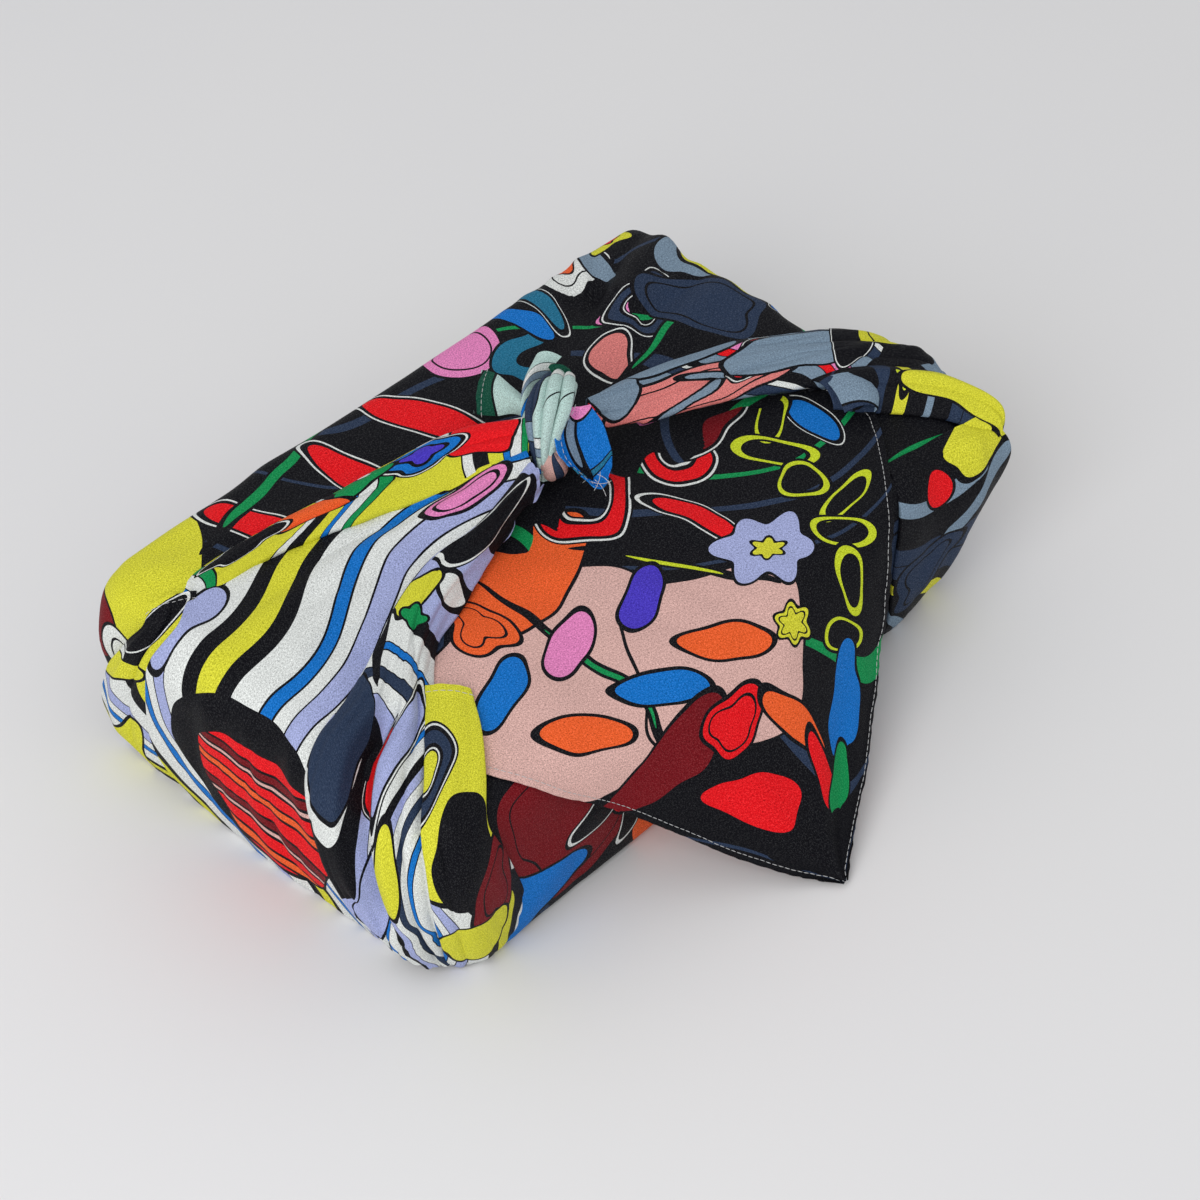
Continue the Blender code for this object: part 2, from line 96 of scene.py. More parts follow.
INK = linear(7, 7, 14)
WHITE = linear(214, 217, 214)
YELLOW = linear(206, 204, 52)
LIME = linear(192, 206, 40)
BLUE = linear(10, 108, 190)
LAVENDER = linear(158, 166, 208)
SLATE = linear(38, 52, 76)
GREY_BLUE = linear(118, 138, 156)
TEAL = linear(30, 108, 140)
RED = linear(222, 14, 24)
DARK_RED = linear(112, 12, 22)
ORANGE = linear(228, 92, 40)
SKIN = linear(208, 168, 160)
SALMON = linear(212, 122, 118)
PINK = linear(220, 128, 182)
GREEN = linear(8, 136, 74)
DARK_GREEN = linear(8, 72, 54)
PURPLE = linear(70, 54, 184)
MINT = linear(176, 202, 196)
THREAD = linear(222, 222, 220)

# Flowing bands: (colour, width) in order, each drawn with an ink line before the next
LIGHT_WAVES = [(WHITE, 7), (BLUE, 3), (WHITE, 4), (LAVENDER, 5), (WHITE, 8), (INK, 4), (YELLOW, 6), (INK, 3)]
YELLOW_WAVES = [(YELLOW, 9), (WHITE, 3), (INK, 5), (YELLOW, 6), (BLUE, 3), (WHITE, 5), (GREEN, 3)]
ROLL_WAVES = [(WHITE, 12), (INK, 7), (LAVENDER, 8), (WHITE, 8), (SLATE, 6), (WHITE, 9), (BLUE, 4)]
NIGHT_WAVES = [(INK, 24), (SLATE, 4), (INK, 13), (GREEN, 3), (INK, 18), (WHITE, 1), (INK, 12), (SLATE, 3)]
SLATE_WAVES = [(SLATE, 7), (INK, 9), (GREY_BLUE, 4), (INK, 8), (YELLOW, 5), (INK, 3), (SLATE, 6)]
STRAND_WAVES = [(GREY_BLUE, 7), (PINK, 5), (RED, 3), (GREY_BLUE, 5), (INK, 3), (WHITE, 2), (SLATE, 4)]
KNOT_WAVES = [(MINT, 6), (SLATE, 3), (MINT, 5), (WHITE, 3), (GREY_BLUE, 3), (MINT, 4), (BLUE, 2)]
RED_STRIPES = [(DARK_RED, 5), (RED, 9), (ORANGE, 5), (RED, 7), (SKIN, 3)]


# ---- The parcel: level sections from the floor up, then inwards over the top ----
# columns: height, inset from the full outline, extra corner radius (mm)
PARCEL_SECTIONS = [
    (0.0, 6.0, 10.0),
    (1.5, 2.5, 8.0),
    (6.0, 0.0, 6.0),
    (22.0, -1.5, 3.0),
    (44.0, -2.0, 1.0),
    (64.0, -1.5, 0.0),
    (74.0, 0.0, 0.0),
    (79.5, 2.5, 1.0),
    (82.3, 6.5, 3.0),
    (83.0, 13.0, 3.0),
    (83.2, 21.0, 3.0),
    (83.2, 32.0, 3.0),
    (83.0, 46.0, 2.0),
    (82.6, 64.0, -2.0),
    (82.3, 84.0, -9.0),
    (82.2, 95.0, -13.0),
]

# Folds drawn into the cloth over the parcel, among them the far corner's gathers, which spread
# from one pit. columns: start x y z, end x y z, half width, height (mm)
PARCEL_FOLDS = {
    "ridge": [
        (-128, 72, 84, -156, 88, 50, 9, 2.5), (110, 66, 84, 146, 92, 82, 8, 3.6),
        (108, 60, 84, 146, 72, 86, 7, 4), (102, 63, 84, 146, 76, 84, 6.5, 2.8),
        (104, 80, 84, 118, 100, 82, 4, 1.9), (70, 39, 84, 122, 60, 84, 6, 1.6),
        (92, 82, 84, 101, 100, 82, 4, 1.4), (76, 78, 84, 84, 98, 80, 5, 1),
        (98, 52, 84, 150, 56, 84, 5, 2), (100, 34, 84, 150, 40, 80, 9, 2.4),
        (52, 44, 84, 104, 60, 84, 5, 1.3), (30, 52, 84, 70, 90, 84, 7, 0.9),
        (-60, 98, 76, 30, 98, 20, 12, 1.5), (120, 98, 70, 60, 98, 10, 12, 1.8),
        (-130, 98, 66, -60, 98, 4, 9, 1.2), (-120, -98, 10, -60, -98, 60, 10, 1.5),
        (-104, -98, 74, -60, -98, 20, 7, 1.3), (150, -98, 0, 96, -98, 6, 20, -7),
        (152, -98, 30, 150, -98, 0, 18, -5), (152, 30, 10, 152, 20, 78, 8, 3),
        (152, 58, 4, 152, 52, 78, 6, 1.6), (-40, 52, 84, -130, 80, 84, 7, 0.9),
        (-100, 74, 84, -146, 60, 82, 6, 1),
    ],
    "crease": [
        (-120, 58, 84, -156, 70, 40, 6, -2), (100, 72, 84, 142, 84, 84, 4.5, -2.6),
        (92, 68, 84, 104, 71, 84, 6, -3.6), (99, 74, 84, 112, 100, 83, 2.5, -1.8),
        (66, 47, 84, 116, 68, 84, 4.5, -1.6), (114, 70, 84, 134, 93, 84, 4.5, -2.2),
        (101, 73, 84, 128, 100, 83, 2.5, -2.2), (94, 76, 84, 96, 99, 83, 2.5, -1.4),
        (100, 46, 84, 150, 49, 84, 3, -1.7), (74, 58, 84, 112, 64, 84, 3, -1.2),
        (44, 50, 84, 92, 74, 84, 4, -1), (138, 98, 78, 96, 98, 12, 6, -1.2),
        (-138, 98, 78, -90, 98, 10, 6, -1.2), (-94, -98, 60, -84, -98, 6, 4, -1.2),
        (152, 46, 4, 152, 42, 78, 5, -2.4), (152, 70, 4, 152, 62, 78, 4, -1.4),
        (-20, 50, 84, -80, 96, 84, 9, -0.6),
    ],
}

# ---- Folded lengths of cloth, each a run of sections across it ----
# columns: left edge x y z, middle x y z, right edge x y z (mm)
FLAP = [
    (-104, 8, 80.6, 10, 10, 80.6, 122, 4, 80.6),
    (-108, -16, 82.6, 8, -14, 82.6, 124, -22, 82.6),
    (-120, -44, 84.8, 4, -40, 84.2, 126, -54, 84.8),
    (-122, -64, 84.8, 0, -62, 85.0, 120, -66, 85.0),
    (-120, -80, 84.6, 0, -78, 85.2, 110, -78, 84.8),
    (-114, -92, 83.0, -1, -91, 84.2, 100, -89, 83.4),
    (-107, -99, 78.5, -2, -102, 80.4, 91, -98, 79.0),
    (-98, -104, 70.0, -3, -111, 72.5, 84, -104, 71.0),
    (-81, -109, 55.0, -5, -121, 58.5, 76, -111, 54.5),
    (-60, -121, 35.0, -7, -134, 39.0, 60, -121, 37.0),
    (-37, -142, 14.0, -10, -149, 19.5, 32, -141, 20.0),
    (-21, -158, 4.4, -11, -160, 8.0, 4, -158, 9.5),
    (-12.5, -168, 2.6, -11.5, -168, 2.8, -10.5, -168, 3.0),
]

LEFT_UPPER_PLEAT = [
    (16, 24, 101, 10, 19, 104, 1, 11, 97),
    (-4, 46, 92, -8, 36, 98, -20, 22, 93),
    (-31, 54, 89, -34, 44, 94, -44, 32, 91),
    (-60, 59, 87, -64, 51, 91, -74, 43, 90),
    (-88, 65, 85, -92, 58, 89, -101, 51, 89),
    (-118, 67, 84, -119, 60, 87, -124, 53, 87),
    (-136, 66, 82, -138, 60, 83, -140, 54, 83),
]

LEFT_PANEL = [
    (4, 17, 98, 1, 11, 99, -3, 4, 97),
    (-40, 38, 88, -44, 17, 92, -42, -4, 90),
    (-96, 56, 86, -94, 21, 89, -90, -12, 87),
    (-130, 56, 87, -131, 12, 89, -130, -30, 87),
    (-148, 46, 88, -150, 8, 86, -148, -33, 85),
    (-160, 50, 76, -159, 6, 76, -158, -36, 76),
    (-162, 52, 58, -160, 3, 58, -159, -38, 58),
    (-162, 54, 38, -159, 0, 38, -159, -44, 40),
    (-159, 51, 16, -157, -5, 17, -158, -58, 22),
    (-153, 45, 0.4, -154, -14, 0.4, -150, -74, 0.4),
]

LEFT_EAR = [
    (-146, 64, 86.5, -139, 61, 88.0, -130, 56, 87),
    (-152, 62, 81, -148, 56, 84.5, -142, 48, 85),
    (-156, 68, 71, -157, 60, 73, -155, 49, 75),
    (-158, 76, 58, -160.5, 65, 59, -158.5, 52, 60),
    (-158, 83, 44, -161, 70, 44, -159, 54, 44),
    (-157, 88, 28, -160, 73, 28, -158, 55, 28),
    (-154, 89, 13, -157.5, 74, 12, -156, 54, 12),
    (-150.5, 85, 1, -153, 70, 0.8, -152.5, 52, 0.8),
]

LEFT_ROLL = [
    (-2, 8, 99, -3, 3, 100, -6, -1, 95),
    (-20, 4, 96, -23, -1, 98, -26, -5, 91),
    (-40, 1, 94, -41, -5, 97, -42, -11, 88),
    (-61, 2, 92, -63, -8, 96, -64, -19, 86),
    (-87, -6, 91, -87, -17, 95, -85, -27, 86),
    (-108, -17, 90, -105, -30, 94, -100, -40, 86),
    (-130, -27, 90, -124, -46, 92, -116, -60, 86),
    (-149, -32, 88, -145, -56, 90, -132, -77, 86),
    (-161, -38, 82, -161, -67, 80, -150, -92, 81),
    (-165, -43, 68, -166, -73, 64, -154, -98, 64),
    (-165, -48, 51, -166, -78, 46, -154, -99, 46),
    (-163, -61, 31, -162, -82, 27, -149, -98, 27),
    (-156, -72, 8, -153, -85, 7, -143, -94, 7),
]

LEFT_HEMMED_CORNER = [
    (-107, -41, 88.5, -101, -47, 90, -95, -54, 88),
    (-120, -57, 89, -113, -63, 90, -105, -69, 88),
    (-137, -75, 89, -128, -81, 89.5, -119, -86, 87),
    (-152, -89, 84, -142, -96, 84.5, -131, -99, 80.5),
    (-157, -96, 67, -144, -104, 68, -127, -102, 66),
    (-157, -98, 49, -143, -105.5, 49, -120, -101, 47),
    (-153, -97, 29, -139, -104, 29, -114, -99.5, 27),
    (-147, -93, 10, -134, -100, 10, -111, -98, 10),
    (-142, -90, 1, -132, -95, 0.8, -111, -94.5, 1),
]

RIGHT_STRAND = [
    (36, 14, 100, 34, 10, 104, 33, 4, 97),
    (56, 13, 100, 56, 5, 101, 54, -5, 95),
    (80, 9, 98, 80, -3, 99, 77, -14, 94),
    (104, 3, 95, 102, -11, 97, 97, -23, 92),
    (126, -6, 92, 122, -20, 95, 114, -32, 91),
    (147, -16, 89, 142, -34, 93, 128, -44, 90),
    (161, -22, 80, 163, -52, 86, 147, -66, 90),
    (163, -14, 62, 166, -62, 68, 156, -94, 80),
    (161, -4, 36, 162, -58, 40, 154, -98, 54),
    (158, 6, 14, 157, -50, 15, 150, -90, 28),
    (153, 12, 0.6, 152, -44, 0.6, 140, -82, 0.8),
]

RIGHT_ROLL = [
    (116, -30, 90, 117, -39, 91, 115, -46, 86),
    (130, -38, 92, 128, -49, 93, 123, -57, 86),
    (144, -52, 93, 141, -62, 94, 133, -69, 86),
    (155, -70, 92, 153, -79, 92, 145, -85, 84),
    (160, -88, 87, 159, -96, 86, 151, -99, 78),
    (158, -93, 73, 155, -99, 71, 149, -100, 66),
]

RIGHT_TAB = [
    (133, -46, 91, 127, -42, 94.0, 120, -36, 91.5),
    (131, -53, 92, 125, -48, 94.2, 117.5, -43, 92),
    (128, -58, 91, 122, -54, 93.2, 115, -49, 91),
    (124.5, -61, 88.5, 119, -58, 91.5, 113, -53.5, 88.5),
]

RIGHT_CORNER = [
    (106, -82, 84.4, 130, -86, 84.6, 150, -90, 85),
    (99, -95, 81, 130, -97, 81, 155, -99, 81),
    (95, -100.5, 70, 129, -103, 70, 158, -103, 70),
    (93, -101.5, 52, 127, -104, 54, 157, -101, 56),
    (93, -101, 32, 126, -102, 34, 154, -95, 38),
    (95, -98, 14, 122, -97, 15, 148, -89, 18),
    (98, -92, 0.5, 120, -90, 0.5, 140, -83, 0.5),
]

KNOT_STANDING_FOLD = [
    (10, 22, 96, 19, 27, 101, 30, 31, 97),
    (15, 29, 102, 23, 32, 107, 34, 33, 103),
    (23, 35, 108, 30, 35, 112, 38, 33, 108),
    (35, 40, 111.5, 38, 37, 113, 42, 33, 110),
]

FRONT_END = [
    (22, 11, 110, 25, 8, 110, 30, 6, 109),
    (12, 7.5, 107, 19, 2, 101.5, 28, -2, 107),
    (7.0, 0.0, 101.5, 15.5, -4.5, 96.5, 25, -9, 102.5),
    (8.5, -8, 96.8, 14.5, -11, 92.6, 21.5, -14, 98.5),
    (10.5, -15.5, 92.3, 12.5, -17, 91.4, 15.0, -17.5, 93.2),
]

KNOT_HEM_BIT = [
    (35, 35, 109, 35, 32, 107, 34, 29, 104),
    (39, 32, 108.5, 38, 29, 106.5, 37, 26, 103),
    (42, 29, 106, 41, 26, 104.5, 40, 23, 101),
]

BACK_END = [
    (19, 18, 95, 20, 21, 98, 24, 25, 96),
    (19, 35, 93, 21, 39, 98, 27, 45, 96),
    (15, 43, 90, 20, 50, 94.5, 29, 57, 95),
    (12, 52, 87.2, 19, 58, 90.5, 29, 65, 92),
]

# Folds of the runs. A lap is one layer's edge lying over the next, and steps up on the side that
# its width's sign gives. columns: half width (share of the run's), height (mm), then the places
# (across, along) that the fold passes, as shares of the run
LEFT_UPPER_PLEAT_FOLDS = {
    "ridge": [(0.16, 1, 0.3, 0.15, 0.34, 0.85)],
    "crease": [(0.08, -1.3, 0.62, 0.05, 0.55, 0.6)],
    "lap": [(-0.22, 0.9, 0.45, 0.3, 0.62, 0.95)],
}
LEFT_PANEL_FOLDS = {
    "ridge": [
        (0.08, 1.4, 0.45, 0.1, 0.3, 0.45), (0.1, -1.4, 0.7, 0.15, 0.75, 0.75),
        (0.06, 1.2, 0.6, 0.06, 0.62, 0.4), (0.05, 1, 0.84, 0.3, 0.9, 0.7),
        (0.07, 1.2, 0.2, 0.42, 0.12, 0.72), (0.08, 1.1, 0.36, 0.55, 0.4, 0.9),
    ],
    "crease": [(0.1, -1.4, 0.2, 0.04, 0.3, 0.24), (0.06, -0.9, 0.55, 0.62, 0.62, 0.98)],
}
LEFT_EAR_FOLDS = {
    "ridge": [(0.12, 1.3, 0.3, 0.2, 0.36, 0.8)],
    "crease": [(0.08, -1.6, 0.62, 0.1, 0.6, 0.9)],
}
LEFT_ROLL_FOLDS = {
    "lap": [
        (0.45, 2.4, 0.55, 0, 0.4, 0.12, 0.16, 0.3, 0.05, 0.42),
        (-0.16, 2.2, 0.3, 0.5, 0.31, 0.7, 0.36, 0.9), (0.14, 2, 0.52, 0.44, 0.53, 0.6, 0.58, 0.9),
    ],
    "ridge": [
        (0.08, 1, 0.78, 0.1, 0.74, 0.36), (0.12, 2.4, 0.16, 0.52, 0.14, 0.88),
        (0.1, -9.5, 0.42, 0.55, 0.45, 0.83), (0.07, 2.2, 0.34, 0.84, 0.5, 0.89),
        (0.07, 1.8, 0.64, 0.5, 0.68, 0.92), (0.06, 1, 0.36, 0.88, 0.6, 0.99),
    ],
    "crease": [
        (0.05, -0.8, 0.3, 0.16, 0.66, 0.4), (0.04, -2.4, 0.76, 0.46, 0.77, 0.95),
        (0.05, -2.2, 0.9, 0.52, 0.9, 0.95), (0.04, -0.9, 0.44, 0.42, 0.2, 0.5),
    ],
}
LEFT_CORNER_FOLDS = {
    "ridge": [(0.16, 0.9, 0.4, 0.3, 0.55, 0.9)],
    "crease": [(0.08, -1.2, 0.2, 0.45, 0.26, 0.98)],
}
RIGHT_STRAND_FOLDS = {
    "lap": [(-0.22, 2, 0.36, 0, 0.28, 0.18, 0.16, 0.38)],
    "ridge": [
        (0.12, -1.1, 0.62, 0.04, 0.6, 0.35), (0.1, 2, 0.45, 0.6, 0.4, 0.95),
        (0.06, 1.2, 0.12, 0.5, 0.1, 0.95),
    ],
    "crease": [
        (0.05, -0.9, 0.8, 0.05, 0.5, 0.42), (0.06, -1.6, 0.3, 0.45, 0.22, 0.8),
        (0.05, -1.2, 0.62, 0.52, 0.58, 0.92),
    ],
}
RIGHT_ROLL_FOLDS = {
    "crease": [(0.16, -1.2, 0.55, 0.3, 0.6, 0.9)],
    "ridge": [(0.14, 0.8, 0.3, 0.05, 0.36, 0.95)],
}
RIGHT_CORNER_FOLDS = {
    "ridge": [(0.14, -1.8, 0.35, 0.05, 0.3, 0.6), (0.12, 1.4, 0.7, 0.15, 0.6, 0.8)],
    "crease": [(0.06, -1.4, 0.86, 0.02, 0.98, 0.2)],
}
FLAP_FOLDS = {
    "ridge": [
        (0.1, 1.4, 0.25, 0.4, 0.4, 0.9), (0.09, 1.6, 0.62, 0.45, 0.55, 0.92),
        (0.08, -1.2, 0.85, 0.5, 0.75, 0.88), (0.07, 1.6, 0.2, 0.16, 0.12, 0.42),
        (0.05, -0.9, 0.31, 0.16, 0.24, 0.44), (0.05, 0.8, 0.55, 0.08, 0.66, 0.3),
    ],
}
FRONT_END_FOLDS = {
    "crease": [(0.22, -2.2, 0.5, 0.1, 0.52, 0.9)],
}

# The knot's band. columns: centre x y z, half width, half thickness (mm)
KNOT_BAND = [
    (5, 7, 86, 3.0, 3.5),
    (7, 8, 94, 4.2, 4.0),
    (11, 11, 103, 6.8, 4.8),
    (18, 15, 109.5, 8.8, 5.2),
    (27, 21, 109.5, 9.0, 5.2),
    (35, 27, 102, 7.5, 5.0),
    (39, 30, 90, 5.5, 4.0),
]
KNOT_BAND_ACROSS = (0.62, -0.72, 0.30)
# The band's layers, which lap each other: name, print, place across the band where it starts, over
# the top and where it ends (shares of the half width), half width (share), how far they stand proud (mm)
KNOT_PLEATS = [
    ("knot_first_pleat", "knot slate", (-0.60, -0.92, -0.55), 0.26, 0.2),
    ("knot_second_pleat", "knot", (-0.20, -0.42, -0.30), 0.22, 1.3),
    ("knot_fourth_pleat", "knot mint", (0.42, 0.72, 0.40), 0.26, 0.5),
    ("knot_third_pleat", "knot mint", (0.10, 0.16, 0.05), 0.26, 1.7),
]
KNOT_LUMPS = [
    ("knot_lower_lump", "knot pink", (8.5, 4.5, 93), (6.2, 5.4, 6.8)),
    ("knot_core", "knot", (21, 15.5, 93), (15.0, 9.5, 9.0)),
]

# Thread ends at the tip of the knot's front end: start, a place it bends towards, end (mm)
LOOSE_THREADS = [
    ((10.5, -13.5, 94.2), (12, -18, 93.6), (16.5, -18.5, 93.8)),
    ((9.0, -16.5, 92.4), (12.5, -16.5, 94.6), (15.5, -13.5, 96.0)),
    ((12.0, -14.0, 94.4), (13.0, -17.0, 93.2), (11.5, -20.5, 90.4)),
    ((14.0, -13.5, 95.6), (15.8, -16.5, 94.8), (15.0, -19.0, 93.4)),
]


# ---- Shapes ----
def unit(vectors):
    return vectors / (np.linalg.norm(vectors, axis=-1, keepdims=True) + 1e-9)


def spline_rows(rows, t):
    """Smooth curves through evenly spaced rows, read at every t from 0 to 1."""
    rows = np.array(rows, float)
    last = len(rows) - 1
    place = np.clip(t, 0, 1) * last
    i = np.minimum(place.astype(int), last - 1)
    f = (place - i)[:, None]
    p1 = rows[i]
    p2 = rows[i + 1]
    p0 = np.where((i > 0)[:, None], rows[np.maximum(i - 1, 0)], 2 * p1 - p2)
    p3 = np.where((i + 2 <= last)[:, None], rows[np.minimum(i + 2, last)], 2 * p2 - p1)
    pull = 3 * (p1 - p2) + p3 - p0
    bend = 2 * p0 - 5 * p1 + 4 * p2 - p3
    return p1 + 0.5 * f * ((p2 - p0) + f * (bend + f * pull))


def from_core(points):
    """Unit directions from the nearest point deep inside the parcel."""
    half = np.array([PARCEL_LENGTH, PARCEL_WIDTH, PARCEL_HEIGHT]) / 2
    middle = half * (0, 0, 1)
    return unit(points - middle - np.clip(points - middle, CORE_INSET - half, half - CORE_INSET))


def run_grid(sections, across, along):
    """Points of a run: parabolas across it through its left edge, middle and right edge."""
    values = spline_rows(sections, np.linspace(0, 1, along + 1))[:, None, :]
    s = np.linspace(0, 1, across + 1)[None, :, None]
    left = values[..., 0:3] * (1 - s) * (1 - 2 * s)
    middle = values[..., 3:6] * 4 * s * (1 - s)
    right = values[..., 6:9] * s * (2 * s - 1)
    return left + middle + right


def crossings(grid):
    """Vectors square to a grid at each of its points."""
    return np.cross(np.gradient(grid, axis=1), np.gradient(grid, axis=0))


def grid_normals(grid):
    normals = unit(crossings(grid))
    return -normals if (normals * from_core(grid)).sum() < 0 else normals


def fold_profile(kind, distance):
    """Height of a fold from its middle line, where distance counts half widths."""
    if kind == "ridge":
        return np.exp(-(distance**2))
    if kind == "crease":
        return np.exp(-1.6 * np.abs(distance))
    return np.exp(-np.maximum(distance, 0)) / (1 + np.exp(-np.clip(distance, -1, 1) * 30))


def fold_heights(folds, s, t):
    """Heights in mm of a run's folds over its grid."""
    heights = np.zeros(s.shape)
    for kind, rows in folds.items():
        for width, rise, *places in rows:
            across, along = places[0::2], places[1::2]
            start = np.clip((t - along[0] + FOLD_FADE) / FOLD_FADE, 0, 1)
            end = np.clip((along[-1] + FOLD_FADE - t) / FOLD_FADE, 0, 1)
            fade = (start * end) ** 2 * (3 - 2 * start * end)
            heights += rise * fade * fold_profile(kind, (s - np.interp(t, along, across)) / width)
    return heights


def noise_at(points):
    values = [noise.noise(Vector(point)) for point in points.reshape(-1, 3)]
    return np.array(values).reshape(points.shape[:-1])


def drawn_wrinkles(grid, wide, long, height):
    """Soft wrinkles that run along a drawn length of cloth."""
    across = lengths(grid, 1) / wide
    points = np.stack([across, lengths(grid, 0) / long, np.full(across.shape, wide)], -1)
    return height * (np.abs(noise_at(points)) * 1.6 - 0.4)


def lengths(grid, axis):
    """Distance run along one way of a grid, from its first point."""
    steps = np.linalg.norm(np.diff(grid, axis=axis), axis=-1)
    start = np.zeros_like(np.take(steps, [0], axis=axis))
    return np.concatenate([start, np.cumsum(steps, axis=axis)], axis=axis)


def hem_heights(grid, edges):
    """The folded hem stands a little proud along the edges named."""
    heights = np.zeros(grid.shape[:2])
    across, along = lengths(grid, 1), lengths(grid, 0)
    away = {"left": (across, along), "right": (across[:, -1:] - across, along),
            "start": (along, across), "end": (along[-1:] - along, across)}
    for edge in edges:
        distance, run = away[edge]
        step = np.clip((HEM_WIDTH + HEM_SLOPE / 2 - distance) / HEM_SLOPE, 0, 1)
        rope = ROPE_RISE * np.sin(run * 0.9 + 1.3 * np.sin(run * 0.21)) * np.exp(-distance / 3)
        heights = np.maximum(heights, HEM_RISE * step) + rope
    return heights


def rolled_edge(grid, side, radius, tuck, square_on):
    """Columns that roll one edge under and tuck it in, towards the parcel or square to the cloth."""
    if side == "left":
        return rolled_edge(grid[:, ::-1], "right", radius, tuck, square_on)[:, ::-1]
    edge = grid[:, -1]
    out = unit(edge - grid[:, -2])
    down = -grid_normals(grid)[:, -1] if square_on else -from_core(edge)
    down = unit(down - out * (down * out).sum(-1, keepdims=True))
    turns = [math.pi / 2 * k / ROLL_STEPS for k in range(1, ROLL_STEPS + 1)]
    steps = [(radius * math.sin(turn), radius * (1 - math.cos(turn))) for turn in turns]
    steps += [(radius * (1 - 0.6 * share), radius + tuck * share) for share in (0.4, 1.0)]
    return np.concatenate([grid, np.stack([edge + out * x + down * y for x, y in steps], 1)], axis=1)


def cloth_place(grid, gather):
    """Where a run's points lie on the flat cloth, in metres, from the run's middle line."""
    middle = grid.shape[1] // 2
    across = lengths(grid, 1)
    across = (across - across[:, [middle]]) * gather
    along = lengths(grid, 0)[:, [middle]] + np.zeros_like(across)
    return np.stack([across, along], -1) * MM


def placed(name, data):
    """A new object in the scene."""
    obj = bpy.data.objects.new(name, data)
    bpy.context.scene.collection.objects.link(obj)
    return obj


def finished(obj, sharp_angle=50):
    """Apply the modifiers and shade the piece smooth, apart from its sharp rims."""
    graph = bpy.context.evaluated_depsgraph_get()
    mesh = bpy.data.meshes.new_from_object(obj.evaluated_get(graph))
    mesh.name = obj.name
    obj.modifiers.clear()
    obj.data = mesh
    mesh.shade_smooth()
    mesh.set_sharp_from_angle(angle=math.radians(sharp_angle))
    return obj


def new_piece(name, points, faces, place, material):
    mesh = bpy.data.meshes.new(name)
    mesh.from_pydata((points.reshape(-1, 3) * MM).tolist(), [], faces)
    corners = np.zeros(len(mesh.loops), int)
    mesh.loops.foreach_get("vertex_index", corners)
    layer = mesh.uv_layers.new(name="cloth")
    layer.data.foreach_set("uv", place.reshape(-1, 2)[corners].astype(np.float32).ravel())
    mesh.materials.append(material)
    return placed(name, mesh)


def grid_faces(rows, columns, ring=False):
    index = np.arange(rows * columns).reshape(rows, columns)
    if ring:
        index = np.concatenate([index, index[:, :1]], axis=1)
    corners = [index[:-1, :-1], index[:-1, 1:], index[1:, 1:], index[1:, :-1]]
    return np.stack(corners, -1).reshape(-1, 4).tolist()


def closed_faces(rows, columns):
    """Faces of rings of points, with the first ring and the last closed."""
    first = list(range(columns))[::-1]
    last = list(range((rows - 1) * columns, rows * columns))
    return [*grid_faces(rows, columns, ring=True), first, last]


def thin_cloth(obj):
    """Give an outer surface the cloth's thickness, inwards."""
    solid = obj.modifiers.new("cloth thickness", "SOLIDIFY")
    solid.thickness = CLOTH_THICKNESS * MM
    solid.offset = -1.0
    return finished(obj)


def parcel_outline(half_x, half_y, radius):
    """Rounded rectangle, anticlockwise from its lower right corner."""
    radius = max(1.5, min(radius, half_x - 0.5, half_y - 0.5))
    arcs = []
    for side_x, side_y, first in ((1, -1, -90), (1, 1, 0), (-1, 1, 90), (-1, -1, 180)):
        angle = np.radians(first + 90 * np.arange(CORNER_STEPS + 1) / CORNER_STEPS)
        arcs.append(np.stack([side_x * (half_x - radius) + radius * np.cos(angle),
                              side_y * (half_y - radius) + radius * np.sin(angle)], -1))
    outline = []
    for arc, after, steps in zip(arcs, arcs[1:] + arcs[:1], SIDE_STEPS):
        share = np.arange(1, steps)[:, None] / steps
        outline += [arc, arc[-1] + (after[0] - arc[-1]) * share]
    return np.concatenate(outline)


def parcel_cloth(material):
    """The cloth drawn round the parcel: base, sides and top, with its folds."""
    rings = []
    for height, inset, extra in spline_rows(PARCEL_SECTIONS, np.linspace(0, 1, PARCEL_RINGS)):
        outline = parcel_outline(PARCEL_LENGTH / 2 - inset, PARCEL_WIDTH / 2 - inset, CORNER_RADIUS + extra)
        rings.append(np.column_stack([outline, np.full(len(outline), height)]))
    grid = np.array(rings)
    size, rise = PARCEL_UNEVEN
    heights = rise * noise_at(grid / size)
    for kind, rows in PARCEL_FOLDS.items():
        for *ends, width, rise in rows:
            start = np.array(ends[:3], float)
            run = np.array(ends[3:], float) - start
            share = np.clip(((grid - start) @ run) / (run @ run), 0, 1)
            apart = np.linalg.norm(grid - start - share[..., None] * run, axis=-1)
            heights += rise * fold_profile(kind, np.minimum(apart / width, 6))
    low = np.clip(grid[..., 2] / FLOOR_REACH, 0, 1)
    grid = grid + from_core(grid) * np.where(heights > 0, heights * low, heights)[..., None]
    grid[0, :, 2] = 0.0
    grid[..., 2] = np.maximum(grid[..., 2], 0.0)
    down = PARCEL_HEIGHT - np.minimum(grid[..., 2:], PARCEL_HEIGHT)
    flat = grid[..., :2] + unit(from_core(grid)[..., :2]) * down
    flat[..., 1] = PARCEL_WIDTH / 2 - flat[..., 1]
    return thin_cloth(new_piece("parcel_cloth", grid, closed_faces(*grid.shape[:2]), flat * MM, material))


STITCH_LINES = []


